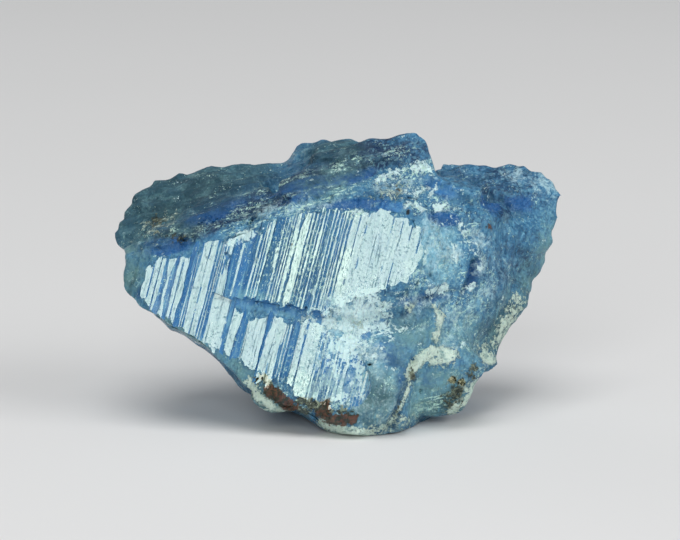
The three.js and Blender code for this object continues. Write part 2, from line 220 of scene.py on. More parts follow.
# each entry is where a strip starts and what it is, up to the start of the next one
leftStriae = [
    (-14.6, "flat"), (-13.43, "flat"), (-12.97, "cut"), (-12.90, "same"), (-12.62, "cut"),
    (-12.55, "same"), (-12.35, "slope"), (-12.10, "flat"), (-11.82, "slope"), (-11.60, "flat"),
    (-11.36, "cut"), (-11.30, "same"), (-10.98, "slope"), (-10.70, "fine"), (-10.44, "flat"),
    (-10.02, "groove"), (-9.96, "same"), (-9.62, "fine"), (-9.28, "end"),
]
lowerStriae = [
    (-9.30, "fine"), (-9.17, "flat"), (-8.12, "groove"), (-8.03, "slope"), (-7.77, "flat"),
    (-7.69, "flat"), (-7.22, "slope"), (-6.95, "fine"), (-6.77, "flat"), (-5.85, "slope"),
    (-5.54, "flat"), (-5.15, "groove"), (-5.06, "flat"), (-4.72, "groove"), (-4.60, "fine"),
    (-4.26, "slope"), (-3.95, "fine"), (-3.75, "flat"), (-3.47, "groove"), (-3.36, "flat"),
    (-2.62, "fine"), (-1.9, "slope"), (-1.7, "fine"), (-1.0, "slope"), (-0.8, "flat"),
    (-0.55, "slope"), (-0.2, "fine"), (1.6, "end"),
]
upperStriae = [
    (-9.45, "fine"), (-8.95, "flat"), (-8.70, "slope"), (-8.20, "flat"), (-8.08, "slope"),
    (-7.45, "fine"), (-6.72, "slope"), (-6.26, "fine"), (-5.47, "flat"), (-5.33, "slope"),
    (-5.10, "flat"), (-4.78, "fine"), (-3.70, "slope"), (-3.55, "fine"), (-2.42, "flat"),
    (-2.05, "groove"), (-1.98, "flat"), (-1.58, "groove"), (-1.50, "flat"), (-0.74, "groove"),
    (-0.66, "flat"), (-0.14, "groove"), (-0.08, "flat"), (0.42, "groove"), (0.50, "flat"),
    (0.98, "groove"), (1.06, "flat"), (1.55, "groove"), (1.64, "flat"), (2.3, "same"), (2.9, "same"),
    (3.5, "same"), (4.1, "end"),
]


def prismAxes(settings):
    lean, turn, axis = (math.radians(settings[k]) for k in ("lean", "turn", "axisTilt"))
    out = np.array([-math.sin(turn) * math.cos(lean), -math.cos(turn) * math.cos(lean), math.sin(lean)])
    up = np.array([math.sin(axis), 0.0, math.cos(axis)])
    up -= out * (up @ out)
    up /= np.linalg.norm(up)
    return np.cross(up, out), up, out


faceAcross, faceUp, faceOut = prismAxes(prismFace)
faceFoot = np.array(prismFace["foot"])

# the front face in two steps, and the face opposite. Each outline stands this far out of the plane
frontFace = dict(foot=faceFoot, across=faceAcross, up=faceUp, out=faceOut,
                 outlines=[(lowerOutline, 0.0), (upperOutline, prismFace["step"])])
rearFace = dict(foot=faceFoot - faceOut * prismFace["thickness"], across=-faceAcross, up=faceUp,
                out=-faceOut, outlines=[(rearOutline, 0.0)])


def awayFrom(a, b, first, last):
    # distance to the stretch between two points
    (a0, b0), (a1, b1) = first, last
    part = ((a - a0) * (a1 - a0) + (b - b0) * (b1 - b0)) / ((a1 - a0) ** 2 + (b1 - b0) ** 2)
    part = np.clip(part, 0, 1)
    return np.hypot(a - a0 - part * (a1 - a0), b - b0 - part * (b1 - b0))


def insideOutline(a, b, outline):
    # distance to the outline, positive inside it
    near = np.full(len(a), 99.0)
    inside = np.zeros(len(a), bool)
    for (a0, b0), (a1, b1) in zip(outline, outline[1:] + outline[:1]):
        near = np.minimum(near, awayFrom(a, b, (a0, b0), (a1, b1)))
        if b0 != b1:
            crosses = ((b0 > b) != (b1 > b)) & (a < a0 + (b - b0) / (b1 - b0) * (a1 - a0))
            inside ^= crosses
    return np.where(inside, near, -near)


def facetsOf(striae, seed):
    # every long thin facet: start, end, level, depths below it at the start and end, and how
    # readily it fades out along its length
    chance = np.random.default_rng(seed)
    fades = striaDepths["fades"]
    facets = []
    level, before = 0.0, "flat"
    for (start, kind), (end, _) in zip(striae, striae[1:]):
        if before not in ("groove", "cut") and kind != "same":
            level = chance.uniform(*striaDepths["level"])
        if kind in ("flat", "same"):
            facets.append((start, end, level, 0.0, 0.0, 0.0))
        elif kind == "slope":
            drop = -(end - start) * chance.uniform(*striaDepths["slope"])
            top = striaDepths["slopeTop"]
            depths = (top, drop) if chance.random() < 0.5 else (drop, top)
            facets.append((start, end, level, *depths, fades["slope"]))
        elif kind in ("groove", "cut"):
            middle = start + (end - start) * chance.uniform(0.3, 0.7)
            facets.append((start, middle, level, 0.0, striaDepths["groove"], fades[kind]))
            facets.append((middle, end, level, striaDepths["groove"], 0.0, fades[kind]))
        else:
            # fine striae: leaning and flat facets by turns
            leaning = chance.random() < 0.5
            while start < end - 0.03:
                width = chance.uniform(*striaDepths["leaningWidth" if leaning else "flatWidth"])
                width = min(width, end - start)
                lean = width * chance.choice(striaDepths["leans"]) if leaning else 0.0
                facets.append((start, start + width, chance.uniform(*striaDepths["fineLevel"]), 0.0, lean,
                               fades["fine"] if leaning else 0.0))
                start += width
                leaning = not leaning
        before = kind
    return facets


def anyStriae(start, end, seed):
    # striae for a face that is seen less closely
    chance = np.random.default_rng(seed)
    striae = []
    while start < end:
        kind = chance.choice(["flat", "slope", "fine", "cut"], p=[0.4, 0.25, 0.25, 0.1])
        striae.append((start, str(kind)))
        start += 0.07 if kind == "cut" else chance.uniform(0.12, 0.75)
    return striae + [(end, "end")]


def slabQuads(rows, wide):
    # the back, the front and the four sides of a slab, from two grids of points
    count = rows * wide
    quads = []
    for r in range(rows - 1):
        for c in range(wide - 1):
            k = r * wide + c
            quads.append((k, k + wide, k + wide + 1, k + 1))
            quads.append((count + k, count + k + 1, count + k + wide + 1, count + k + wide))
    for r in range(rows - 1):
        for c, turned in ((0, True), (wide - 1, False)):
            k = r * wide + c
            side = (k, k + wide, count + k + wide, count + k)
            quads.append(side[::-1] if turned else side)
    for c in range(wide - 1):
        for r, turned in ((0, False), (rows - 1, True)):
            k = r * wide + c
            side = (k, k + 1, count + k + 1, count + k)
            quads.append(side[::-1] if turned else side)
    return quads


def makeCutter(name, striae, seed, bottom, top, level, face, settings, material):
    # what is taken off in front of one part of the face: its back is the striated surface
    facets = facetsOf(striae, seed)
    edges = np.array([f[0] for f in facets] + [facets[-1][1]])
    widths = np.diff(edges)
    room = np.minimum(np.append(widths[0], widths), np.append(widths, widths[-1]))
    rows = int(math.ceil(np.max(top(edges) - bottom(edges)) / settings["rowLength"])) + 1
    height = np.linspace(0, 1, rows)[:, None]
    upEdge = bottom(edges)[None, :] * (1 - height) + top(edges)[None, :] * height

    # borders between facets stray a little along their length
    index = np.broadcast_to(np.arange(len(edges)), upEdge.shape)
    apart = 17.0                # keeps the noise of one border clear of the next
    along = np.stack([index.ravel() * apart, upEdge.ravel() / settings["wanderLength"],
                      np.full(index.size, seed)], axis=1)
    stray = rough(along, 1.0, seed + 31, 3).reshape(upEdge.shape)
    acrossEdge = edges[None, :] + stray * room[None, :] * settings["wander"]
    nick = scatter(np.floor(along * [1, 9, 1]), seed + 37).reshape(upEdge.shape) - 0.5
    acrossEdge += nick * np.minimum(room, 0.12)[None, :] * settings["nicks"]

    gap = settings["gap"]
    a = np.empty((rows, len(facets) * 2))
    b = np.empty_like(a)
    h = np.empty_like(a)
    for i, (_, _, rest, startDepth, endDepth, fades) in enumerate(facets):
        a[:, 2 * i], a[:, 2 * i + 1] = acrossEdge[:, i] + gap, acrossEdge[:, i + 1] - gap
        b[:, 2 * i], b[:, 2 * i + 1] = upEdge[:, i], upEdge[:, i + 1]
        # a facet and its neighbour in one groove fade out together
        pair = np.full(rows, (facets[i - 1] if startDepth < 0 and i else facets[i])[0] * 31.0)
        place = np.stack([pair, upEdge[:, i], np.full(rows, 3.0)], axis=1)
        shown = smooth(rough(place, 1.9, seed + 7), 1.6 * fades - 1.15, 1.6 * fades - 0.75)
        swell = rest + waves(place, 1.7, seed + 5) * settings["swell"] * (fades > 0)
        h[:, 2 * i] = swell + startDepth * shown
        h[:, 2 * i + 1] = swell + endDepth * shown
    # well outside the outlines the cutter lifts clear of the stone
    inside = np.max([insideOutline(a.ravel(), b.ravel(), line) for line, _ in face["outlines"]], axis=0)
    h += level + np.clip((-inside.reshape(a.shape) - 0.7) / 0.3, 0, 1) * 3

    corners = [face["foot"] + face["across"] * x + face["up"] * y + face["out"] * z
               for grid in (h, np.full_like(h, settings["reach"]))
               for x, y, z in zip(a.ravel(), b.ravel(), grid.ravel())]
    mesh = bpy.data.meshes.new(name)
    mesh.from_pydata([tuple(p * mm) for p in corners], [], slabQuads(rows, a.shape[1]))
    mesh.materials.append(None)
    mesh.materials.append(material)
    mesh.polygons.foreach_set("material_index", np.ones(len(mesh.polygons), np.int32))
    cleaned = bmesh.new()
    cleaned.from_mesh(mesh)
    bmesh.ops.recalc_face_normals(cleaned, faces=cleaned.faces)
    cleaned.to_mesh(mesh)
    cleaned.free()
    cutter = bpy.data.objects.new(name, mesh)
    bpy.context.scene.collection.objects.link(cutter)
    return cutter


# the stone: its broken surface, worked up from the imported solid

stoneSettings = dict(
    voxel=0.137,                # of the fine mesh
    softening=7,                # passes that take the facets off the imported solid
    # shell-shaped breaks: lean tilts them, and bend is how far swirls bend them
    bigBreaks=dict(size=3.6, height=0.40, lean=0.8, bend=0.45, seed=21),
    smallBreaks=dict(size=1.3, height=0.25, lean=0.8, bend=0.35, seed=41),
    splinters=dict(size=0.55, height=0.09, lean=0.8, bend=0.3, seed=61),
    breaksLevel=0.22,           # the rise at which a break neither adds nor takes away
    weakest=0.25,               # breaks come and go, down to this share of their height
    # ledges on top: the way across the layers, and the heights between which they come in
    layers=dict(across=(-0.26, 0.25, 0.93), pitch=0.62, wander=0.35, startsAt=8.5, fullAt=10.5,
                tread=(0.3, 0.7), depth=0.5, facing=(0.2, 0.55)),
    # rings about a point of the view, right of a line at fromX that is full at fullX
    ripples=dict(x=416, y=262, fromX=424, fullX=438, pitch=0.8, height=0.035, wobble=0.12,
                 nearest=1.3, fadeIn=0.6, furthest=5.2, fadeOut=1.2),
    footShare=0.3,              # the rounded foot is smoother than the rest
    footTop=(3.5, 6.5),
    wear=0.8,                   # how much of the breaks goes where the stone is worn
    wearPasses=36,
    wearRim=(-0.25, 0.15),      # where in its patches the wear comes in
    slivers=0.03,               # relief of the finest roughness all over
    grooveDepth=0.34,
    ridgeHeight=0.16,
    pitDepth=0.22,
    crust=dict(nodule=0.34, edge=0.10, rough=0.04),
    grain=dict(facet=0.42, edge=0.16, hollow=0.15),
    cream=dict(thick=0.05, rough=0.04),
    splintered=dict(height=0.10, size=0.55, stretch=(0.45, 1.0, 1.0), slope=0.27),  # glittering parts
    sharpEdge=38,               # edges that turn by more than this stay sharp
    # the bright strips mirror the key light, and are also painted paler as painted reflection
    stripTurn=(4, 9),           # a facet this near to the face's own turn shows as a bright strip
)

# patches of the surface, where they lie in the view: ovals, or lines along a path. wide and high
# are half sizes in px, lean turns an oval up to the right, strength below 1 breaks it up, and
# reach is how many mm deep it goes
marks = dict(
    deep=[
        dict(x=164, y=246, wide=30, high=9, lean=6, strength=1.3),
        dict(x=212, y=214, wide=36, high=9, lean=24, strength=0.9),
        dict(x=300, y=186, wide=48, high=6, lean=14, strength=0.8),
        dict(x=352, y=204, wide=30, high=6, lean=6, strength=1.1),
        dict(x=350, y=178, wide=36, high=6, lean=15, strength=0.95),
        dict(x=306, y=196, wide=30, high=5, lean=16, strength=0.7),
        dict(x=381, y=206, wide=24, high=7, lean=-4, strength=1.3),
        dict(x=443, y=219, wide=20, high=8, lean=-6, strength=1.2),
        dict(x=440, y=190, wide=20, high=7, lean=-30, strength=0.6),
        dict(x=270, y=301, wide=52, high=5, lean=-14, strength=0.25),
        dict(x=318, y=312, wide=20, high=6, lean=-6, strength=0.8),
        # painted shadow: a deep blue shadow beside the ripples
        dict(x=474, y=271, wide=7, high=13, lean=-18, strength=0.9),
        dict(x=420, y=300, wide=26, high=6, lean=10, strength=0.7),
        dict(x=491, y=203, wide=10, high=12, lean=30, strength=0.6),
        dict(x=518, y=203, wide=16, high=8, strength=0.35),
        dict(x=392, y=352, wide=14, high=14, strength=0.6),
        dict(x=370, y=312, wide=8, high=5, lean=-30, strength=0.9),
        dict(x=366, y=332, wide=7, high=6, lean=20, strength=0.8),
        dict(x=142, y=292, wide=6, high=10, lean=-20, strength=0.7),
        dict(x=252, y=362, wide=7, high=12, lean=-30, strength=0.7),
        dict(x=398, y=395, wide=4, high=26, lean=-12, strength=0.25),
        dict(x=430, y=380, wide=12, high=8, lean=30, strength=0.4),
    ],
    clear=[
        # the ledge's clear blue is its own colour, laid on strongly and lighter as painted light on a riser
        # that faces down into its own shade
        dict(path=[(220, 296), (235, 298), (252, 303), (270, 305), (284, 305), (300, 311), (322, 317)],
             wide=9, strength=1.2),
        dict(x=369, y=312, wide=8, high=5, lean=-30),
        dict(x=366, y=333, wide=8, high=6, lean=20),
        dict(x=382, y=322, wide=7, high=5, strength=0.8),
        dict(x=346, y=316, wide=5, high=7, lean=20, strength=0.8),
        dict(x=356, y=344, wide=6, high=6, strength=0.7),
        dict(x=384, y=348, wide=12, high=8, lean=20, strength=0.6),
        dict(x=440, y=186, wide=16, high=8, lean=-20, strength=0.5),
        dict(x=392, y=208, wide=18, high=5, strength=0.5),
        dict(x=225, y=258, wide=8, high=4, strength=0.4),
    ],
    sage=[
        dict(x=130, y=272, wide=12, high=30, lean=-10, strength=0.9),
        dict(path=[(310, 418), (330, 430), (352, 438), (380, 434), (400, 426)], wide=12, strength=1.3),
        dict(path=[(246, 378), (256, 396), (276, 408), (296, 418)], wide=12, strength=1.2),
        dict(x=436, y=396, wide=40, high=34),
        dict(x=374, y=400, wide=30, high=36, strength=0.9),
        dict(x=415, y=335, wide=36, high=30, strength=0.6),
        dict(x=470, y=345, wide=30, high=30, strength=0.6),
        dict(x=130, y=250, wide=22, high=40, strength=0.6),
        dict(x=165, y=222, wide=24, high=14, lean=30, strength=0.6),
        dict(x=270, y=400, wide=30, high=14, lean=-30, strength=0.8),
        dict(path=[(150, 306), (190, 338), (230, 362), (262, 385)], wide=8, strength=0.7),
        dict(path=[(562, 220), (540, 262), (512, 310), (488, 350)], wide=14, strength=0.5),
        dict(x=330, y=190, wide=30, high=10, lean=14, strength=0.5),
        dict(x=340, y=168, wide=26, high=8, lean=18, strength=0.4),
    ],
    frost=[
        dict(x=292, y=208, wide=34, high=6, lean=8, strength=0.35),
        dict(x=398, y=188, wide=24, high=8, lean=12, strength=0.5),
        dict(x=352, y=316, wide=40, high=26, lean=10, strength=0.8),
        dict(x=362, y=350, wide=26, high=16, lean=-30, strength=0.6),
        dict(x=330, y=385, wide=34, high=24, lean=-10, strength=0.4),
        dict(x=374, y=376, wide=10, high=26, lean=10, strength=0.25),
        dict(x=432, y=244, wide=14, high=34, lean=-10, strength=0.5),
        dict(x=453, y=256, wide=12, high=12, lean=10, strength=0.9),
        dict(x=478, y=238, wide=9, high=14, lean=30, strength=0.8),
        dict(x=480, y=268, wide=8, high=13, lean=-30, strength=0.6),
        dict(x=440, y=290, wide=14, high=8, lean=10, strength=0.5),
        dict(x=414, y=310, wide=12, high=14, lean=-30, strength=0.35),
        dict(x=455, y=320, wide=20, high=16, strength=0.25),
        dict(x=448, y=346, wide=10, high=9, strength=0.4),
        dict(x=492, y=286, wide=10, high=18, lean=-30, strength=0.3),
        dict(x=547, y=182, wide=16, high=12, lean=-30, strength=0.3),
        dict(x=520, y=174, wide=12, high=7, strength=0.25),
        dict(x=372, y=404, wide=16, high=20, strength=0.15),
    ],
    white=[
        dict(x=243, y=236, wide=15, high=6, lean=16, strength=1.5),
        dict(x=232, y=243, wide=7, high=4, lean=20, strength=0.8),
        dict(x=352, y=211, wide=9, high=5, lean=-14, strength=0.6),
        dict(x=424, y=168, wide=13, high=5, lean=-12, strength=0.9),
        dict(x=402, y=172, wide=14, high=5, lean=10, strength=0.6),
        dict(x=382, y=178, wide=12, high=4, lean=24, strength=0.4),
        dict(x=418, y=207, wide=11, high=5, lean=-10, strength=0.7),
        dict(x=440, y=207, wide=12, high=5, lean=4, strength=0.8),
        dict(x=418, y=190, wide=14, high=7, strength=0.35),
        dict(x=356, y=318, wide=44, high=30, lean=10, strength=0.95),
        dict(x=348, y=345, wide=28, high=22, strength=0.8),
        dict(x=372, y=291, wide=17, high=5, lean=4),
        dict(x=347, y=303, wide=12, high=6, lean=-20, strength=0.8),
        dict(x=362, y=316, wide=10, high=6, lean=30, strength=0.8),
        dict(x=385, y=303, wide=12, high=3.5, lean=24, strength=0.7),
        dict(x=338, y=322, wide=7, high=8, strength=0.7),
        dict(x=350, y=338, wide=9, high=7, lean=-40, strength=0.8),
        dict(x=374, y=334, wide=8, high=6, lean=10, strength=0.5),
        dict(x=334, y=352, wide=6, high=8, lean=10, strength=0.6),
        dict(x=438, y=290, wide=12, high=5, lean=20, strength=0.6),
        dict(x=420, y=283, wide=8, high=4, strength=0.4),
        dict(x=335, y=368, wide=2.5, high=18, lean=6, strength=0.7),
        dict(x=350, y=372, wide=2.5, high=20, lean=8, strength=0.7),
        dict(x=360, y=378, wide=3.5, high=22, lean=8, strength=0.7),
        dict(x=342, y=398, wide=10, high=7, strength=0.5),
        dict(path=[(458, 222), (468, 234), (477, 250), (480, 266)], wide=3, strength=0.2),
        dict(path=[(474, 284), (466, 292)], wide=3, strength=0.4),
        dict(path=[(384, 365), (394, 370)], wide=2, strength=0.6),
        dict(x=473, y=303, wide=2.5, high=2),
        dict(x=448, y=355, wide=11, high=5, lean=8, strength=0.9),
        dict(x=426, y=357, wide=9, high=3.5, lean=24, strength=0.8),
        dict(x=438, y=322, wide=2.5, high=14, lean=6, strength=0.7),
        dict(path=[(328, 427), (342, 432), (356, 434)], wide=4, strength=0.9),
        dict(x=463, y=346, wide=6, high=4, lean=30, strength=0.5),
        dict(x=452, y=256, wide=7, high=7, lean=10, strength=0.3),
    ],
    glitter=[
        dict(path=[(205, 224), (240, 208), (280, 192), (315, 184)], wide=12, strength=0.6),
        dict(path=[(225, 232), (250, 223), (275, 213), (300, 207), (335, 207)], wide=8),
        dict(path=[(318, 200), (326, 192), (336, 188)], wide=10, strength=1.2),
        dict(path=[(330, 190), (360, 182), (392, 176)], wide=8, strength=0.6),
        dict(path=[(337, 170), (347, 165), (356, 162)], wide=7, strength=0.9),
        dict(path=[(372, 160), (395, 154), (416, 146)], wide=5, strength=0.35),
        dict(x=412, y=178, wide=26, high=16, lean=10, strength=0.8),
        dict(x=428, y=203, wide=28, high=9, strength=0.7),
        dict(x=352, y=213, wide=12, high=8),
        dict(x=472, y=214, wide=14, high=20, lean=-30, strength=0.6),
        dict(x=300, y=262, wide=42, high=56, lean=-8, strength=0.7),
        dict(x=342, y=270, wide=9, high=34, lean=-8, strength=0.9),
        dict(x=300, y=390, wide=48, high=22, lean=-16, strength=0.7),
        dict(x=180, y=232, wide=34, high=8, lean=14, strength=0.4),
        dict(x=455, y=290, wide=40, high=60, lean=-10, strength=0.3),
        dict(x=438, y=400, wide=40, high=26, lean=20, strength=0.35),
    ],
    cream=[
        dict(x=393, y=192, wide=14, high=6, lean=8, strength=0.3),
        dict(path=[(436, 308), (440, 316), (438, 326), (436, 338)], wide=4.5, strength=0.8),
        dict(x=441, y=318, wide=5, high=6, strength=0.9),
        dict(x=409, y=308, wide=3.5, high=6, lean=-30, strength=0.5),
        dict(path=[(410, 374), (414, 365), (422, 358), (432, 352), (450, 351)], wide=6, strength=1.3),
        dict(x=447, y=357, wide=12, high=8, lean=10, strength=1.2),
        dict(x=434, y=362, wide=8, high=5, lean=-20, strength=0.6),
        dict(path=[(411, 374), (408, 390), (402, 405), (395, 416), (388, 426)], wide=2.0, strength=0.8),
        dict(path=[(324, 422), (335, 428), (348, 433), (364, 436)], wide=8, strength=1.6),
        dict(x=158, y=226, wide=11, high=8, lean=20, strength=0.25),
        dict(path=[(250, 384), (262, 400), (280, 411), (300, 420)], wide=7, strength=0.8),
        dict(path=[(306, 402), (318, 412), (330, 421)], wide=3, strength=0.6),
        dict(x=486, y=356, wide=9, high=12, lean=30, strength=1.1, reach=4),
        dict(path=[(518, 300), (508, 320), (498, 340)], wide=8, strength=0.5, reach=4),
        dict(x=470, y=392, wide=8, high=14, lean=40, strength=0.3),
        dict(path=[(452, 411), (466, 400), (477, 382)], wide=7, strength=0.8, reach=4),
        dict(path=[(362, 436), (380, 430), (394, 424), (412, 424)], wide=6, strength=0.25),
        dict(x=360, y=324, wide=5, high=4, strength=0.3),
    ],
    # dust, and painted shade: the three patches that reach 5 mm deep darken the far lobes, where the light
    # falls off
    dustAndShade=[
        dict(x=190, y=190, wide=100, high=34, lean=14, strength=1.8, reach=5),
        dict(x=135, y=232, wide=34, high=30, strength=0.8, reach=5),
        dict(x=325, y=150, wide=40, high=18, lean=10, strength=1.2, reach=5),
        dict(x=320, y=180, wide=50, high=8, lean=12, strength=0.5),
        dict(x=176, y=232, wide=30, high=12, lean=20, strength=0.5),
        dict(x=262, y=398, wide=18, high=12, lean=-30, strength=0.5),
        dict(x=132, y=280, wide=12, high=26, strength=0.4),
        dict(x=205, y=352, wide=46, high=5, lean=-36, strength=0.5),
        dict(x=452, y=402, wide=34, high=18, lean=36, strength=0.6),
        dict(x=372, y=422, wide=36, high=10, lean=-6, strength=0.4),
        dict(x=376, y=396, wide=24, high=34, strength=0.45),
        dict(x=421, y=343, wide=5, high=8, strength=0.4),
        dict(x=500, y=325, wide=18, high=50, lean=-26, strength=0.5),
    ],
    crust=[
        dict(path=[(264, 378), (271, 388), (276, 396)], wide=5, strength=0.8),
        dict(path=[(290, 406), (300, 410), (306, 412)], wide=4, strength=0.9),
        dict(path=[(302, 401), (313, 404), (324, 410)], wide=6),
        dict(path=[(326, 404), (332, 412)], wide=4, strength=0.5),
        dict(x=345, y=411, wide=14, high=4, lean=-8, strength=0.5),
        dict(x=456, y=390, wide=8, high=8, lean=20, strength=0.9),
        dict(x=474, y=370, wide=5, high=9, lean=-10, strength=0.7),
        dict(x=413, y=376, wide=4, high=8, lean=10, strength=0.6),
        dict(x=398, y=410, wide=3, high=7, lean=-20, strength=0.4),
        dict(x=176, y=239, wide=9, high=5, lean=-20, strength=0.5),
        dict(x=157, y=222, wide=8, high=6, lean=20, strength=0.3),
        dict(path=[(448, 404), (458, 396)], wide=6, strength=0.4),
    ],
    rust=[
        dict(path=[(269, 391), (276, 394), (284, 402), (291, 408)], wide=7, strength=1.4),
        dict(path=[(320, 413), (332, 420), (344, 420), (354, 418)], wide=6, strength=1.1),
        dict(path=[(326, 404), (327, 414)], wide=5, strength=0.7),
        dict(x=488, y=227, wide=4, high=3, lean=-20, strength=0.6),
        dict(x=397, y=190, wide=2.5, high=3, strength=0.4),
    ],
    grain=[
        dict(x=258, y=379, wide=5, high=6),
        dict(x=475, y=366, wide=4, high=7, lean=-10, strength=0.9),
        dict(x=453, y=380, wide=4, high=4, lean=10, strength=0.8),
        dict(x=462, y=382, wide=4, high=5, lean=-30, strength=0.8),
        dict(x=345, y=397, wide=3, high=4),
        dict(x=322, y=402, wide=3, high=3, strength=0.8),
    ],
    # pits are cut into the shape and painted near black as painted shade
    pit=[
        dict(x=408, y=212, wide=2.2, high=3.4, lean=-20),
        dict(x=369, y=364, wide=2.6, high=1.8),
        dict(x=420, y=392, wide=1.6, high=1.8),
        dict(x=362, y=263, wide=1.6, high=3.6, lean=-20),
        dict(x=292, y=245, wide=1.8, high=1.8),
        dict(x=434, y=212, wide=1.8, high=1.5),
    ],
    # grooves are cut into the shape, and their colour is darkened as painted shade
    groove=[
        dict(path=[(414, 362), (411, 378), (404, 396), (398, 410), (392, 424), (386, 436)], wide=6),
        dict(path=[(446, 170), (468, 180), (486, 194), (495, 210), (499, 228)], wide=8),
        dict(path=[(499, 200), (508, 208), (518, 214)], wide=6, strength=0.6),
        dict(path=[(384, 354), (394, 362), (406, 367)], wide=3, strength=0.2),
        dict(path=[(474, 262), (473, 278), (464, 291)], wide=5, strength=0.8),
        dict(path=[(402, 316), (418, 300), (436, 296), (452, 290)], wide=4, strength=0.6),
        dict(path=[(190, 212), (232, 194), (262, 180), (300, 168), (340, 156)], wide=9, strength=0.4),
    ],
    ridge=[
        dict(path=[(441, 214), (458, 222), (470, 236), (479, 256), (480, 276)], wide=7, strength=0.8),
        dict(path=[(437, 178), (455, 186), (472, 194), (484, 210), (490, 232)], wide=8),
        dict(path=[(150, 236), (190, 223), (232, 206), (262, 192), (300, 180), (345, 168), (385, 156)],
             wide=7),
        dict(path=[(372, 286), (396, 292), (422, 290), (446, 282)], wide=6, strength=0.6),
    ],
)

# where the breaks are worn down
worn = [
    dict(x=160, y=205, wide=90, high=80, reach=7),
    dict(x=262, y=160, wide=64, high=26, lean=10, reach=7),
    dict(x=340, y=136, wide=60, high=14, lean=10, reach=5, strength=0.7),
    dict(x=552, y=215, wide=36, high=66, reach=6),
    dict(x=514, y=310, wide=34, high=60, lean=-30, reach=5),
    dict(x=500, y=166, wide=50, high=20, reach=5),
    dict(x=435, y=250, wide=24, high=40),
    dict(x=276, y=190, wide=44, high=16, lean=14, reach=4, strength=0.7),
]

# pushes on the outline, in px of the view
nudges = [
    dict(x=230, y=158, wide=50, high=40, up=-4.5),
    dict(x=196, y=166, wide=34, high=30, up=7),
    dict(x=146, y=190, wide=30, high=30, up=4, right=-7),
    dict(x=118, y=230, wide=24, high=36, right=-10),
    dict(x=126, y=266, wide=20, high=20, right=3),
    dict(x=142, y=302, wide=44, high=30, up=-6, right=-5),
    dict(x=172, y=322, wide=24, high=20, up=-3, right=-2),
    dict(x=335, y=134, wide=50, high=30, up=-4),
    dict(x=282, y=158, wide=16, high=16, up=-2, right=2),
    dict(x=300, y=143, wide=18, high=18, up=4, right=-5),
    dict(x=400, y=130, wide=34, high=30, up=-5),
    dict(x=384, y=137, wide=18, high=14, up=-3),
    dict(x=421, y=142, wide=12, high=14, up=1, right=3),
    dict(x=475, y=156, wide=64, high=40, up=-7),
    dict(x=530, y=166, wide=30, high=24, up=3),
    dict(x=446, y=162, wide=14, high=12, up=-3),
    dict(x=466, y=164, wide=16, high=12, up=3),
    dict(x=212, y=166, wide=32, high=16, up=3),
    dict(x=539, y=262, wide=18, high=24, right=3),
    dict(x=500, y=324, wide=18, high=18, right=4),
    dict(x=130, y=208, wide=16, high=20, right=-3),
    dict(x=128, y=247, wide=14, high=14, right=-3),
    dict(x=560, y=192, wide=24, high=24, right=8, up=2),
    dict(x=545, y=240, wide=30, high=44, right=11),
    dict(x=541, y=249, wide=18, high=18, right=5),
    dict(x=512, y=302, wide=28, high=36, right=11),
    dict(x=480, y=366, wide=22, high=24, right=14),
    dict(x=454, y=406, wide=16, high=16, right=5, up=-2),
    dict(x=513, y=309, wide=16, high=20, right=3),
    dict(x=131, y=206, wide=20, high=20, right=-3),
    dict(x=138, y=293, wide=18, high=20, right=-3),
    dict(x=170, y=174, wide=20, high=16, up=-3),
    dict(x=246, y=390, wide=20, high=24, right=-4, up=-1),
    dict(x=290, y=428, wide=40, high=24, up=5),
    dict(x=392, y=428, wide=14, high=14, up=3),
    dict(x=436, y=416, wide=22, high=14, up=-3),
]

# broad changes of tone: above 0 is hazy and pale, below 0 is dark. Partly the stone's own tone and partly
# painted light and shade: the dark patches along the top slope are painted shade on faces that turn up away
# from the light, and the patch along the ledge is painted light on a riser that faces down into its own
# shade
tonesWithPaintedLight = [
    dict(x=200, y=226, wide=80, high=17, lean=24, strength=-1.7),
    dict(x=270, y=200, wide=90, high=16, lean=17, strength=-1.6),
    dict(x=335, y=176, wide=60, high=14, lean=14, strength=-1.6),
    dict(x=366, y=160, wide=40, high=12, lean=14, strength=-1.5),
    dict(x=296, y=178, wide=50, high=10, lean=14, strength=-1.6),
    dict(x=330, y=152, wide=56, high=14, lean=10, strength=-0.7),
    dict(x=400, y=148, wide=46, high=18, lean=-10, strength=-0.7),
    dict(x=170, y=195, wide=80, high=34, lean=20, strength=-0.9, reach=5),
    dict(x=440, y=250, wide=34, high=46, lean=10, strength=1.3),
    dict(x=490, y=310, wide=40, high=60, lean=-20, strength=0.1),
    dict(x=455, y=325, wide=44, high=32, strength=0.35),
    dict(x=528, y=255, wide=36, high=44, lean=-20, strength=-0.4, reach=5),
    dict(x=520, y=186, wide=50, high=26, lean=-10, strength=-0.7, reach=5),
    dict(x=548, y=184, wide=16, high=16, lean=-40, strength=0.6, reach=5),
    dict(x=500, y=208, wide=28, high=12, lean=-30, strength=-0.8),
    dict(x=460, y=216, wide=34, high=14, lean=-10, strength=-0.3),
    dict(x=374, y=395, wide=34, high=44, strength=0.6),
    dict(x=438, y=398, wide=46, high=36, strength=0.8),
    dict(x=378, y=382, wide=26, high=24, strength=1.5),
    dict(x=345, y=330, wide=56, high=36, strength=1.0),
    dict(x=262, y=402, wide=28, high=20, strength=0.5),
    dict(x=270, y=303, wide=60, high=12, lean=-12, strength=1.8),
    dict(x=135, y=285, wide=18, high=36, strength=0.7),
]


def pointsOf(mesh):
    flat = np.empty(len(mesh.vertices) * 3, np.float32)
    mesh.vertices.foreach_get("co", flat)
    return flat.reshape(-1, 3).astype(float) / mm


def normalsOf(mesh):
    flat = np.empty(len(mesh.vertices) * 3, np.float32)
    mesh.vertex_normals.foreach_get("vector", flat)
    return flat.reshape(-1, 3).astype(float)


def movePoints(mesh, points):
    mesh.vertices.foreach_set("co", (points * mm).astype(np.float32).ravel())
    mesh.update()


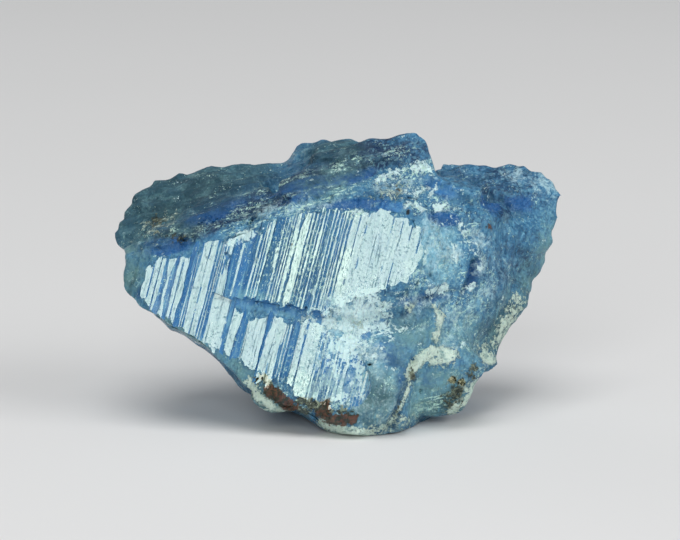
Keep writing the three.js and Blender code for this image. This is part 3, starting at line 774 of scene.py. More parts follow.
def fineCopy(node, settings):
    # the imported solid, welded, meshed finely and with its facets softened
    mesh = node.data.copy()
    mesh.materials.clear()
    welded = bmesh.new()
    welded.from_mesh(mesh)
    bmesh.ops.remove_doubles(welded, verts=welded.verts, dist=0.002 * mm)
    welded.to_mesh(mesh)
    welded.free()
    draft = bpy.data.objects.new("tanzaniteDraft", mesh)
    bpy.context.scene.collection.objects.link(draft)
    remesh = draft.modifiers.new("fineMesh", "REMESH")
    remesh.mode = "VOXEL"
    remesh.voxel_size = settings["voxel"] * mm
    soften = draft.modifiers.new("soften", "SMOOTH")
    soften.factor = 0.5
    soften.iterations = settings["softening"]
    return applied(draft, "tanzaniteStone")


def applied(draft, name):
    # the mesh that the draft's modifiers give, as a new object
    graph = bpy.context.evaluated_depsgraph_get()
    mesh = bpy.data.meshes.new_from_object(draft.evaluated_get(graph))
    mesh.name = name
    bpy.data.objects.remove(draft)
    result = bpy.data.objects.new(name, mesh)
    bpy.context.scene.collection.objects.link(result)
    return result


farOutside = -3.0               # of any patch


def patchField(points, patches, front):
    # how far inside the patches every point lies: 1 in the middle, 0 at the rim, less outside
    x, y, depth = seenAt(points)
    field = np.full(len(points), farOutside)
    for patch in patches:
        field = np.maximum(field, patchShare(x, y, depth, patch, front) * patch.get("strength", 1))
    return field


def wornShare(points, settings, front):
    return smooth(patchField(points, worn, front), *settings["wearRim"])


def patchShare(x, y, depth, patch, front):
    # a patch is an oval, or a line of some width along a path
    path = patch.get("path")
    middle = path[len(path) // 2] if path else (patch["x"], patch["y"])
    spot, _, _, _ = front.ray_cast(Vector(eye), sightLine(*middle))
    if spot is None:
        return np.full(len(x), farOutside)
    back = (depth + (np.array(spot) - eye) @ viewBack) / patch.get("reach", 2.2)
    if path:
        away = np.full(len(x), 99.0)
        for first, last in zip(path, path[1:]):
            away = np.minimum(away, awayFrom(x, y, first, last))
        along, over = away / patch["wide"], 0
    else:
        lean = math.radians(patch.get("lean", 0))
        right, down = x - patch["x"], y - patch["y"]
        along = (right * math.cos(lean) - down * math.sin(lean)) / patch["wide"]
        over = (right * math.sin(lean) + down * math.cos(lean)) / patch["high"]
    return np.maximum(1 - np.sqrt(along ** 2 + over ** 2 + back ** 2), farOutside)


def toneField(points, front):
    x, y, depth = seenAt(points)
    tone = np.zeros(len(points))
    for patch in tonesWithPaintedLight:
        tone += patch["strength"] * smooth(patchShare(x, y, depth, patch, front), -0.15, 0.6)
    return tone


def frontTree(mesh):
    # for finding where a sight line meets the stone
    corners = [tuple(p) for p in pointsOf(mesh)]
    return BVHTree.FromPolygons(corners, [tuple(f.vertices) for f in mesh.polygons])


def nudgeShape(mesh):
    # small pushes that bring the outline in line, in px of the view
    points = pointsOf(mesh)
    x, y, depth = seenAt(points)
    scale = depth / pxPerSlope
    for push in nudges:
        away = np.hypot((x - push["x"]) / push["wide"], (y - push["y"]) / push["high"])
        share = 1 - smooth(away, 0.0, 1.0)
        move = viewSide * push.get("right", 0) + viewUp * push.get("up", 0)
        points += (scale * share)[:, None] * move
    points[:, 2] = np.maximum(points[:, 2], 0)
    movePoints(mesh, points)


def edgesOf(mesh):
    # the two ends of every edge, and how many edges meet at every point
    ends = np.empty(len(mesh.edges) * 2, np.int64)
    mesh.edges.foreach_get("vertices", ends)
    count = np.bincount(ends, minlength=len(mesh.vertices)) + 1e-6
    return *ends.reshape(-1, 2).T, count


def neighbourSum(values, first, last):
    return np.bincount(first, values[last], len(values)) + np.bincount(last, values[first], len(values))


def wearDown(mesh, share, passes):
    # evens out the worn places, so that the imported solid's own breaks lose their crests there
    points = pointsOf(mesh)
    first, last, count = edgesOf(mesh)
    for _ in range(passes):
        total = np.stack([neighbourSum(points[:, k], first, last) for k in range(3)], axis=1)
        points += (total / count[:, None] - points) * share[:, None] * 0.6
    movePoints(mesh, points)


def breakSurface(mesh, settings, front):
    # breaks, layers, ripples, crusts and pits, pushed along the surface's own normals
    points, normals = pointsOf(mesh), normalsOf(mesh)
    layers = settings["layers"]
    across = np.array(layers["across"]) / np.linalg.norm(layers["across"])
    x, _, _ = seenAt(points)
    atFoot = 1 - smooth(points[:, 2], *settings["footTop"])

    # the top breaks into ledges that follow the crystal's layers
    onTop = smooth(points[:, 2], layers["startsAt"], layers["fullAt"])
    onTop *= smooth(normals @ across, *layers["facing"])
    level = (points @ across) / layers["pitch"] + rough(points, 2.6, 11) * layers["wander"]
    part = level - np.floor(level)
    tread = (smooth(part, *layers["tread"]) - part) * layers["pitch"] * onTop
    points = points + across * tread[:, None] * layers["depth"]

    # shell-shaped breaks in three sizes, bent by slow swirls
    height = np.zeros(len(points))
    calm = 1 - atFoot * (1 - settings["footShare"])
    calm *= 1 - settings["wear"] * wornShare(points, settings, front)
    weakest = settings["weakest"]
    for name in ("bigBreaks", "smallBreaks", "splinters"):
        breaks = settings[name]
        size, seed = breaks["size"], breaks["seed"]
        swirl = np.stack([waves(points, size * 1.6, seed + 90 + k) for k in range(3)], axis=1)
        rise, _ = scoops(points + swirl * size * breaks["bend"], size, seed, breaks["lean"])
        strength = weakest + (1 - weakest) * smooth(rough(points, size * 2.5, seed + 50), -0.3, 0.5)
        height += (rise - settings["breaksLevel"]) * breaks["height"] * calm * strength
    height += rough(points, 0.9, 71, 4) * settings["slivers"]

    # ripples of the shell-shaped break on the right flank
    ripples = settings["ripples"]
    spot, _, _, _ = front.ray_cast(Vector(eye), sightLine(ripples["x"], ripples["y"]))
    far = np.linalg.norm(points - np.array(spot), axis=1) + waves(points, 1.5, 81) * ripples["wobble"]
    window = smooth(far, ripples["nearest"], ripples["nearest"] + ripples["fadeIn"])
    window *= 1 - smooth(far, ripples["furthest"] - ripples["fadeOut"], ripples["furthest"])
    window *= smooth(x, ripples["fromX"], ripples["fullX"]) * smooth(normals @ viewBack, 0.0, 0.3)
    height += np.sin(far * 2 * math.pi / ripples["pitch"]) * ripples["height"] * window

    # crusts and grains of metal are nodules with borders between them, and cream is a rough skin
    def share(name, low=-0.1, high=0.3):
        # of the height, from the rim of a patch inwards
        return smooth(patchField(points, marks[name], front), low, high)

    crust, grain, cream = settings["crust"], settings["grain"], settings["cream"]
    _, border = scoops(points, crust["nodule"], 95)
    height += np.maximum(share("crust"), share("rust")) * (
        smooth(border, 0, 0.12) * crust["edge"] + rough(points, 0.5, 97) * crust["rough"])
    rise, border = scoops(points, grain["facet"], 99)
    height += share("grain") * (smooth(border, 0, 0.08) * grain["edge"] - rise * grain["hollow"])
    height += share("cream") * (cream["thick"] + rough(points, 0.4, 98) * cream["rough"])

    # splinters, drawn out along the top slope
    splintered = settings["splintered"]
    drawnOut = points * splintered["stretch"] - np.outer(points[:, 0], [0, 0, splintered["slope"]])
    height += share("glitter", -0.2, 0.4) * rough(drawnOut, splintered["size"], 131) * splintered["height"]
    height -= share("pit", -0.3, 0.4) * settings["pitDepth"]
    height -= share("groove", 0.0, 1.0) * settings["grooveDepth"]
    height += share("ridge", 0.0, 1.0) * settings["ridgeHeight"]
    height *= 1 - smooth(-points[:, 2], -0.25, 0.0)     # the base stays flat
    movePoints(mesh, points + normals * height[:, None])


def raiseFace(mesh, face, settings, rest):
    # the stone stands proud where the prism face will be cut, and falls away around it
    points = pointsOf(mesh)
    local = points - face["foot"]
    a, b, out = local @ face["across"], local @ face["up"], local @ face["out"]
    ragged = settings["ragged"]
    strip = np.stack([np.round(a / ragged["endWidth"]), np.round(b / 6.0), np.zeros(len(a))], axis=1)
    wander = rough(points, 1.6, 311) * ragged["swells"] + (scatter(strip, 301) - 0.5) * ragged["ends"]
    wander += rough(points, 0.45, 321) * ragged["crumbs"]
    target, nearest, band = np.full(len(a), -9.0), np.full(len(a), -9.0), np.zeros(len(a))
    for outline, level in face["outlines"]:
        inside = insideOutline(a, b, outline) + wander
        beyond = np.minimum(inside + 0.5, 0)
        fall = inside * settings["falloff"] - beyond * beyond * settings["curl"]
        rise = np.where(inside < 0, fall, np.minimum(inside, settings["proud"]))
        target = np.maximum(target, rise + level)
        nearest = np.maximum(nearest, inside)
        band += inside
    if len(face["outlines"]) > 1:
        # the broken ledge between the two steps
        ledge = (nearest < 0) & (band > -settings["ledge"])
        target = np.where(ledge, settings["ledgeLevel"] + nearest * settings["ledgeFall"], target)
    near = (out > -settings["deepest"]) & (nearest > -settings["bevel"])
    share = smooth(rest @ face["out"], -0.05, 0.2) * near
    points += face["out"] * (share * (np.maximum(out, target) - out))[:, None]
    movePoints(mesh, points)


def curvature(mesh):
    # from -1 in the hollows to 1 along sharp edges
    points, normals = pointsOf(mesh), normalsOf(mesh)
    first, last, count = edgesOf(mesh)
    gap = points[last] - points[first]
    length = np.linalg.norm(gap, axis=1) + 1e-6
    bend = np.bincount(first, -np.sum(gap * normals[first], axis=1) / length, len(points))
    bend += np.bincount(last, np.sum(gap * normals[last], axis=1) / length, len(points))
    bend /= count
    for _ in range(2):
        bend = (bend + neighbourSum(bend, first, last) / count) / 2
    return np.clip(bend * 4, -1, 1)


def writeAttribute(mesh, name, values, domain="POINT"):
    attribute = mesh.attributes.new(name, "FLOAT", domain)
    attribute.data.foreach_set("value", values.astype(np.float32))


def finishMesh(mesh, settings, front):
    # masks for the materials, and which edges stay sharp
    points = pointsOf(mesh)
    for name in marks:
        if name != "ridge":
            writeAttribute(mesh, name, patchField(points, marks[name], front))
    acrossLayers = normalsOf(mesh) @ np.array(settings["layers"]["across"])
    writeAttribute(mesh, "layered", smooth(acrossLayers + rough(points, 1.5, 401) * 0.2, 0.15, 0.5))
    # the tone carries painted light and shade as well as the stone's own tone
    writeAttribute(mesh, "tone", toneField(points, front))
    writeAttribute(mesh, "elsewhere", 1 - smooth(normalsOf(mesh) @ viewBack, -0.15, 0.15))
    writeAttribute(mesh, "edge", curvature(mesh))
    normals = np.empty(len(mesh.polygons) * 3, np.float32)
    mesh.polygons.foreach_get("normal", normals)
    normals = normals.reshape(-1, 3)
    slot = np.empty(len(mesh.polygons), np.int32)
    mesh.polygons.foreach_get("material_index", slot)
    full, none = (math.cos(math.radians(turn)) for turn in settings["stripTurn"])
    onFace = slot == 1          # the prism face's material
    writeAttribute(mesh, "flatStrip", onFace * smooth(np.abs(normals @ faceOut), none, full), "FACE")
    mesh.polygons.foreach_set("use_smooth", ~onFace)
    shaped = bmesh.new()
    shaped.from_mesh(mesh)
    for edge in shaped.edges:
        if len(edge.link_faces) == 2:
            edge.smooth = edge.calc_face_angle(0) < math.radians(settings["sharpEdge"])
    shaped.to_mesh(mesh)
    shaped.free()


# shader building

def connect(tree, value, socket):
    # another node's output, or a plain value
    if isinstance(value, bpy.types.NodeSocket):
        tree.links.new(value, socket)
    else:
        socket.default_value = value


def addNode(tree, kind, inputs=None, **settings):
    node = tree.nodes.new("ShaderNode" + kind)
    node.location = (len(tree.nodes) % 8 * 190 - 700, -(len(tree.nodes) // 8) * 260)
    for name, value in settings.items():
        setattr(node, name, value)
    for socket, value in (inputs or {}).items():
        connect(tree, value, node.inputs[socket])
    return node


def maths(tree, operation, first, *others, clamp=False):
    # one Math node for each further value
    for value in others:
        node = addNode(tree, "Math", {0: first, 1: value}, operation=operation, use_clamp=clamp)
        first = node.outputs[0]
    return first


def plus(tree, *values, clamp=False):
    return maths(tree, "ADD", *values, clamp=clamp)


def minus(tree, first, second, clamp=False):
    return maths(tree, "SUBTRACT", first, second, clamp=clamp)


def times(tree, *values):
    return maths(tree, "MULTIPLY", *values)


def larger(tree, *values):
    return maths(tree, "MAXIMUM", *values)


def centred(tree, value):
    # noise swings about 0.5: this swings about 0
    return minus(tree, value, 0.5)


def vectorMaths(tree, operation, first, second):
    socket = "Scale" if operation == "SCALE" else 1
    node = addNode(tree, "VectorMath", {0: first, socket: second}, operation=operation)
    return node.outputs["Value" if operation == "DOT_PRODUCT" else "Vector"]


def step(tree, value, low, high, toLow=0.0, toHigh=1.0):
    # a soft step from toLow to toHigh, between two levels
    node = addNode(tree, "MapRange", {"Value": value, "From Min": low, "From Max": high,
                                      "To Min": toLow, "To Max": toHigh}, interpolation_type="SMOOTHSTEP")
    return node.outputs["Result"]


def blend(tree, factor, first, second):
    node = addNode(tree, "Mix", data_type="RGBA", blend_type="MIX", clamp_factor=True)
    for name, value in (("Factor_Float", factor), ("A_Color", first), ("B_Color", second)):
        connect(tree, value, next(s for s in node.inputs if s.identifier == name))
    return next(s for s in node.outputs if s.identifier == "Result_Color")


def laid(tree, under, over, share, amount=1.0):
    # one colour laid over another, as strongly as the share and the amount say
    if amount < 1:
        share = times(tree, share, amount)
    return blend(tree, share, under, over)


def blendValue(tree, factor, first, second):
    return addNode(tree, "Mix", {0: factor, 2: first, 3: second}, data_type="FLOAT").outputs[0]


def noise(tree, place, scale, detail=3.0, roughness=0.55, distortion=0.0):
    node = addNode(tree, "TexNoise", {"Vector": place, "Scale": scale, "Detail": detail,
                                      "Roughness": roughness, "Distortion": distortion})
    return node.outputs["Fac"]


def between(tree, value, look):
    # a soft step with its levels from a dictionary
    return step(tree, value, look["low"], look["high"], look.get("toLow", 0.0), look.get("toHigh", 1.0))


def pattern(tree, place, look):
    # noise that comes in between two levels
    swells = {name: look[name] for name in ("scale", "detail", "roughness", "distortion") if name in look}
    return between(tree, noise(tree, place, **swells), look)


def mask(tree, name):
    return addNode(tree, "Attribute", attribute_name=name).outputs["Fac"]


def newGroup(name, inputs, outputs):
    group = bpy.data.node_groups.new(name, "ShaderNodeTree")
    kinds = {"value": "NodeSocketFloat", "colour": "NodeSocketColor", "place": "NodeSocketVector"}
    for direction, sockets in (("INPUT", inputs), ("OUTPUT", outputs)):
        for label, kind, *value in sockets:
            socket = group.interface.new_socket(name=label, in_out=direction, socket_type=kinds[kind])
            if value:
                socket.default_value = value[0]
    start = group.nodes.new("NodeGroupInput")
    start.location = (-950, 0)
    end = group.nodes.new("NodeGroupOutput")
    end.location = (950, 0)
    return group, start.outputs, end.inputs


def useGroup(tree, group, inputs):
    node = addNode(tree, "Group", node_tree=group)
    node.label = group.name
    for name, value in inputs.items():
        connect(tree, value, node.inputs[name])
    return node.outputs


# node groups. How far their axes are drawn out says how many times finer the pattern is along each

grainAxes = dict(across=1.5, up=0.55, out=1.5)
layerAxes = dict(side=0.5, along=1.0, across=2.4)
gritScale = 5.0                 # the finest grit, for each mm


def makeStonePlace():
    # places in mm, as they are and along the axes of the prism face, the grain and the layers
    group, _, out = newGroup("stonePlace", [], [("Place", "place"), ("Face Place", "place"),
                                               ("Grain Place", "place"), ("Layer Place", "place")])
    here = addNode(group, "TexCoord").outputs["Object"]
    place = vectorMaths(group, "SCALE", here, 1 / mm)
    group.links.new(place, out["Place"])
    across = np.array(stoneSettings["layers"]["across"])
    across = across / np.linalg.norm(across)
    side = np.cross(across, (0.0, 1.0, 0.0))
    side /= np.linalg.norm(side)
    axesOf = {
        "Face Place": (faceAcross, faceUp, faceOut),
        "Grain Place": (faceAcross * grainAxes["across"], faceUp * grainAxes["up"],
                        faceOut * grainAxes["out"]),
        "Layer Place": (side * layerAxes["side"], np.cross(across, side) * layerAxes["along"],
                        across * layerAxes["across"]),
    }
    for name, axes in axesOf.items():
        parts = addNode(group, "CombineXYZ")
        for k, axis in enumerate(axes):
            group.links.new(vectorMaths(group, "DOT_PRODUCT", place, tuple(axis)), parts.inputs[k])
        group.links.new(parts.outputs[0], out[name])
    return group


def makeRaggedPatch():
    # a painted field with its rim broken up by noise
    group, given, out = newGroup(
        "raggedPatch",
        [("Field", "value"), ("Place", "place"), ("Size", "value", 1.0), ("Raggedness", "value", 0.5),
         ("Crumbs", "value", 0.0), ("Softness", "value", 0.12)],
        [("Mask", "value")])
    swing, shrink = 3.0, 0.1    # how far full raggedness moves the rim, and draws it in
    frequency = maths(group, "DIVIDE", 1.0, given["Size"])
    wobble = noise(group, given["Place"], frequency, detail=6.0, roughness=0.62, distortion=0.3)
    wobble = times(group, centred(group, wobble), given["Raggedness"])
    crumbs = noise(group, given["Place"], gritScale, detail=4.0, roughness=0.75)
    crumbs = times(group, centred(group, crumbs), given["Crumbs"])
    field = plus(group, given["Field"], times(group, plus(group, wobble, crumbs), swing))
    total = plus(group, given["Raggedness"], given["Crumbs"])
    field = minus(group, field, times(group, total, shrink))
    low = times(group, given["Softness"], -1.0)
    group.links.new(step(group, field, low, given["Softness"]), out["Mask"])
    return group


def makeCloudyBlue():
    # the body of the stone: clouds, veils and small clear windows of blue
    group, given, out = newGroup(
        "cloudyBlue",
        [("Place", "place"), ("Tone", "value"), ("Streaks", "value"), ("Dark", "colour"),
         ("Blue", "colour"), ("Haze", "colour"), ("Cloud Size", "value", 3.0),
         ("Contrast", "value", 1.0), ("Grit", "value", 1.0)],
        [("Color", "colour"), ("Cloud", "value")])
    strength = dict(cloud=3.2, small=2.2, grit=3.0, veils=0.22)
    finer = dict(small=5.0, veils=2.2)          # than the clouds, so many times
    veilWidth = 0.035
    frequency = maths(group, "DIVIDE", 1.0, given["Cloud Size"])
    cloud = noise(group, given["Place"], frequency, detail=5.0, roughness=0.6, distortion=0.8)
    small = noise(group, given["Place"], times(group, frequency, finer["small"]), detail=4.0,
                  roughness=0.65, distortion=0.4)
    veil = noise(group, given["Place"], times(group, frequency, finer["veils"]), detail=4.0,
                 roughness=0.6, distortion=1.6)
    veil = maths(group, "ABSOLUTE", centred(group, veil), 0.0)
    veils = step(group, veil, 0.0, veilWidth, toLow=1.0, toHigh=0.0)
    grit = centred(group, noise(group, given["Place"], gritScale, detail=4.0, roughness=0.75))
    level = plus(group, times(group, centred(group, cloud), strength["cloud"]),
                 times(group, centred(group, small), strength["small"]))
    level = plus(group, times(group, level, given["Contrast"]),
                 times(group, grit, strength["grit"], given["Grit"]),
                 times(group, veils, strength["veils"]), given["Tone"], given["Streaks"])
    colour = blend(group, step(group, level, low=-1.1, high=0.1), given["Dark"], given["Blue"])
    colour = blend(group, step(group, level, low=0.0, high=1.3), colour, given["Haze"])
    group.links.new(colour, out["Color"])
    group.links.new(level, out["Cloud"])
    return group


def makeCrystalGrain():
    # tiny flat breaks, each leaning its own way
    group, given, out = newGroup(
        "crystalGrain", [("Place", "place"), ("Size", "value", 0.3), ("Warp", "value", 0.3)],
        [("Height", "value"), ("Chance", "value")])
    middle = (0.5, 0.5, 0.5)
    frequency = maths(group, "DIVIDE", 1.0, given["Size"])
    swirl = addNode(group, "TexNoise", {"Vector": given["Place"], "Scale": frequency, "Detail": 2.0})
    push = vectorMaths(group, "SCALE", vectorMaths(group, "SUBTRACT", swirl.outputs["Color"], middle),
                       times(group, given["Size"], given["Warp"]))
    place = vectorMaths(group, "ADD", given["Place"], push)
    cells = addNode(group, "TexVoronoi", {"Vector": place, "Scale": frequency})
    gap = vectorMaths(group, "SUBTRACT", place, cells.outputs["Position"])
    way = vectorMaths(group, "SUBTRACT", cells.outputs["Color"], middle)
    lean = vectorMaths(group, "DOT_PRODUCT", gap, way)
    group.links.new(times(group, lean, frequency), out["Height"])
    split = addNode(group, "SeparateColor", {"Color": cells.outputs["Color"]})
    group.links.new(split.outputs[0], out["Chance"])
    return group


def makeFlecks():
    # painted glints: small ragged splinters painted pale where they would catch the light, drawn out along
    # the place that they are given
    group, given, out = newGroup(
        "paintedGlintFlecks", [("Place", "place"), ("Size", "value", 0.2), ("Share", "value", 0.1)],
        [("Mask", "value")])
    least, lowered, rim = 0.74, 0.6, 0.035      # the level that lets a fleck through, and its rim
    crowding, crowdSize = 0.5, 0.16             # flecks lie in crowds
    frequency = maths(group, "DIVIDE", 1.0, given["Size"])
    grit = noise(group, given["Place"], frequency, detail=3.0, roughness=0.8, distortion=0.4)
    crowd = noise(group, given["Place"], times(group, frequency, crowdSize), detail=2.0, roughness=0.6)
    grit = plus(group, grit, times(group, centred(group, crowd), crowding))
    low = minus(group, least, times(group, given["Share"], lowered))
    group.links.new(step(group, grit, low, plus(group, low, rim)), out["Mask"])
    return group


def makeStriaLines():
    # fine lines along the c axis, some of them fading out along their length
    group, given, out = newGroup(
        "striaLines", [("Face Place", "place"), ("Pitch", "value", 0.08), ("Length", "value", 3.0)],
        [("Lines", "value")])
    across = maths(group, "DIVIDE", 1.0, given["Pitch"])
    along = maths(group, "DIVIDE", 1.0, given["Length"])
    parts = addNode(group, "SeparateXYZ", {0: given["Face Place"]}).outputs
    drawn = addNode(group, "CombineXYZ", {0: times(group, parts[0], across),
                                          1: times(group, parts[1], along)}).outputs[0]
    group.links.new(noise(group, drawn, 1.0, detail=2.0, roughness=0.6), out["Lines"])
    return group


def makeWornEdge():
    # bruised edges: where the surface is sharp and the noise lets it through, and painted shade where it is
    # hollow
    group, given, out = newGroup(
        "wornEdgeAndShade", [("Edge", "value"), ("Place", "place"), ("Amount", "value", 0.3)],
        [("Mask", "value"), ("Painted Hollow Shade", "value")])
    patchy, sharpest, rim = 1.2, 0.75, 0.35
    wobble = noise(group, given["Place"], scale=2.6, detail=4.0, roughness=0.6)
    sharp = plus(group, given["Edge"], times(group, centred(group, wobble), patchy))
    low = minus(group, sharpest, given["Amount"])
    group.links.new(step(group, sharp, low, plus(group, low, rim)), out["Mask"])
    group.links.new(step(group, times(group, sharp, -1.0), low=0.2, high=0.8), out["Painted Hollow Shade"])
    return group


stonePlace = makeStonePlace()
raggedPatch = makeRaggedPatch()
cloudyBlue = makeCloudyBlue()
crystalGrain = makeCrystalGrain()
paintedGlintFlecks = makeFlecks()
striaLines = makeStriaLines()
wornEdgeAndShade = makeWornEdge()


# materials

stoneColours = dict(
    dark=(0.005, 0.030, 0.092, 1),
    blue=(0.048, 0.190, 0.350, 1),
    haze=(0.21, 0.47, 0.60, 1),
    deep=(0.010, 0.095, 0.300, 1),
    frost=(0.50, 0.72, 0.77, 1),
    white=(0.72, 0.94, 0.94, 1),
    # spark is the pale colour of painted glints
    spark=(0.60, 0.88, 0.76, 1),
    sage=(0.17, 0.34, 0.34, 1),
    cream=(0.76, 0.92, 0.78, 1),
    # the dust colour is also painted shade on the far lobes
    dustAndShade=(0.026, 0.072, 0.082, 1),
    crustDark=(0.040, 0.038, 0.018, 1),
    crustPale=(0.26, 0.30, 0.20, 1),
    rust=(0.16, 0.060, 0.030, 1),
    ochre=(0.24, 0.10, 0.025, 1),
    grain=(0.44, 0.44, 0.27, 1),
    # pit is the near black of painted shade in the pits
    pit=(0.006, 0.008, 0.010, 1),
    # strip is paler than the clear blue, partly as painted reflection of the key light
    strip=(0.12, 0.31, 0.38, 1),
    stripBlue=(0.08, 0.24, 0.41, 1),
    facetTeal=(0.025, 0.110, 0.190, 1),
    facet=(0.045, 0.205, 0.47, 1),
    facetDark=(0.018, 0.110, 0.310, 1),
)


def newMaterial(name):
    material = bpy.data.materials.new(name)
    material.use_nodes = True
    tree = material.node_tree
    tree.nodes.clear()
    output = tree.nodes.new("ShaderNodeOutputMaterial")
    output.location = (1400, 0)
    shader = tree.nodes.new("ShaderNodeBsdfPrincipled")
    shader.location = (1050, 0)
    tree.links.new(shader.outputs[0], output.inputs["Surface"])
    return material, tree, shader


def setShader(shader, values):
    for name, value in values.items():
        shader.inputs[name].default_value = value


# the cloudy stone under both surfaces lets a little light through
stoneBody = {"IOR": 1.69, "Subsurface Weight": 0.22, "Subsurface Radius": (0.7, 0.9, 1.1),
             "Subsurface Scale": 0.5 * mm}


def newStoneMaterial(name, finish):
    material, tree, shader = newMaterial(name)
    shader.subsurface_method = "RANDOM_WALK"
    setShader(shader, stoneBody)
    setShader(shader, finish)
    return material, tree, shader, useGroup(tree, stonePlace, {})


def patchMask(tree, name, place, look):
    # one kind of patch, with its rim broken up
    return useGroup(tree, raggedPatch, {"Field": mask(tree, name), "Place": place, "Size": look["size"],
                                        "Raggedness": look["ragged"], "Crumbs": look["crumbs"],
                                        "Softness": look["soft"]})["Mask"]


# the broken stone

brokenFinish = {"Specular IOR Level": 0.32, "Specular Tint": (0.62, 0.86, 1.0, 1)}

# every kind of patch: size of the noise at its rim in mm, how ragged, crumbly and soft the rim is,
# and how much of its colour it lays on
brokenPatches = dict(
    deep=dict(size=1.2, ragged=0.45, crumbs=0.2, soft=0.25, amount=0.85),
    clear=dict(size=0.8, ragged=0.6, crumbs=0.3, soft=0.25, amount=0.85),
    sage=dict(size=1.4, ragged=0.6, crumbs=0.5, soft=0.5),
    dustAndShade=dict(size=1.6, ragged=0.5, crumbs=0.3, soft=0.5, amount=0.75),
    groove=dict(size=0.8, ragged=0.4, crumbs=0.2, soft=0.5, amount=0.4),
    frost=dict(size=0.9, ragged=0.8, crumbs=0.6, soft=0.35, amount=0.75),
    white=dict(size=0.6, ragged=1.3, crumbs=1.0, soft=0.12, amount=0.92),
    glitter=dict(size=1.0, ragged=0.6, crumbs=0.3, soft=0.4),
    cream=dict(size=0.5, ragged=0.8, crumbs=0.9, soft=0.14, amount=0.85),
    crust=dict(size=0.6, ragged=0.8, crumbs=0.8, soft=0.12, amount=0.9),
    rust=dict(size=0.5, ragged=0.8, crumbs=0.9, soft=0.12, amount=0.92),
    grain=dict(size=0.5, ragged=0.4, crumbs=0.4, soft=0.15),
    pit=dict(size=0.3, ragged=0.3, crumbs=0.3, soft=0.25),
)

# noise that comes in between two levels, and how much of its colour it lays on. scale is for each mm
brokenPatterns = dict(
    calm=dict(scale=0.5, detail=3.0, low=0.40, high=0.62, toLow=0.1, toHigh=1.1),
    hazy=dict(scale=2.6, detail=4.0, roughness=0.6, low=0.42, high=0.66, amount=0.6),
    frosty=dict(scale=3.0, detail=6.0, roughness=0.75, low=0.36, high=0.60),
    thin=dict(scale=4.5, detail=5.0, roughness=0.75, low=0.34, high=0.52, toLow=0.35),
    wisps=dict(scale=1.8, detail=6.0, roughness=0.75, distortion=0.6, low=0.50, high=0.66, amount=0.22),
    stain=dict(scale=0.32, detail=5.0, roughness=0.6, low=0.50, high=0.60, amount=0.45),
    pale=dict(scale=0.75, detail=6.0, roughness=0.7, low=0.60, high=0.64, amount=0.6),
    creamy=dict(scale=2.2, detail=5.0, roughness=0.75, low=0.30, high=0.52),
    rusty=dict(scale=4.0, detail=4.0, roughness=0.7, low=0.45, high=0.58),
)

# the levels between which a noise that is at hand comes in, from low to high
brokenLevels = dict(
    # painted shade and painted light on the small breaks: cells painted dark as if shaded and pale as if
    # lit
    paintedShadeBreaks=dict(low=0.34, high=0.05, amount=0.25),
    paintedShadeGrit=dict(low=0.30, high=0.05, amount=0.30),
    paintedLightBreaks=dict(low=0.72, high=0.98, amount=0.20),
    paintedLightGrit=dict(low=0.76, high=0.98, amount=0.35),
    glossyBreaks=dict(low=0.35, high=0.75, toLow=0.46, toHigh=0.14),
    sageMottle=dict(low=0.36, high=0.60, toLow=0.25, toHigh=0.8),
    dustMottle=dict(low=0.46, high=0.66, amount=0.5),
    paleScratch=dict(low=0.60, high=0.68, amount=0.4),
    darkScratch=dict(low=0.40, high=0.33, amount=0.35),
    creamSpeck=dict(low=0.44, high=0.34, amount=0.6),
    crustSpeck=dict(low=0.48, high=0.60),
    rustSpeck=dict(low=0.56, high=0.68, amount=0.5),
    metalGlint=dict(low=0.2, high=0.8),
)

# grain and lines in mm, how rough each finish is, and how high the relief is in mm
brokenDetail = dict(
    top=dict(size=0.42, warp=0.6),
    side=dict(size=0.40, warp=0.7),
    fine=dict(size=0.16, warp=0.6),
    streaks=dict(pitch=0.17, length=1.0),
    scratches=dict(pitch=0.13, length=0.8),
    clouds={"Cloud Size": 3.4, "Contrast": 0.7, "Grit": 1.0},
    thickFlecks=dict(size=0.34, share=0.22, amount=0.9),
    smallFlecks=dict(size=0.15, share=0.23),
    fewFlecks=dict(size=0.16, share=0.13, amount=0.85),
    # edges: how far the bruises reach, how much frost they lay on, and how much painted shade goes into the
    # hollows
    edges=dict(reach=0.25, frost=0.35, hollow=0.15),
    roughness=dict(pale=0.25, crusted=0.4, metal=0.45),     # metal is smoother by so much
    metallic=0.75,
    relief=dict(breaks=0.16, fine=0.10, streaks=0.02, grit=0.05, pale=0.04, crusted=0.25, cream=0.16,
                strength=0.8),
)


def grainOf(tree, place, look):
    return useGroup(tree, crystalGrain, {"Place": place, "Size": look["size"], "Warp": look["warp"]})


def flecksOf(tree, place, look):
    return useGroup(tree, paintedGlintFlecks, {"Place": place, "Size": look["size"],
                                         "Share": look["share"]})["Mask"]


def linesOf(tree, facePlace, look):
    return useGroup(tree, striaLines, {"Face Place": facePlace, "Pitch": look["pitch"],
                                       "Length": look["length"]})["Lines"]


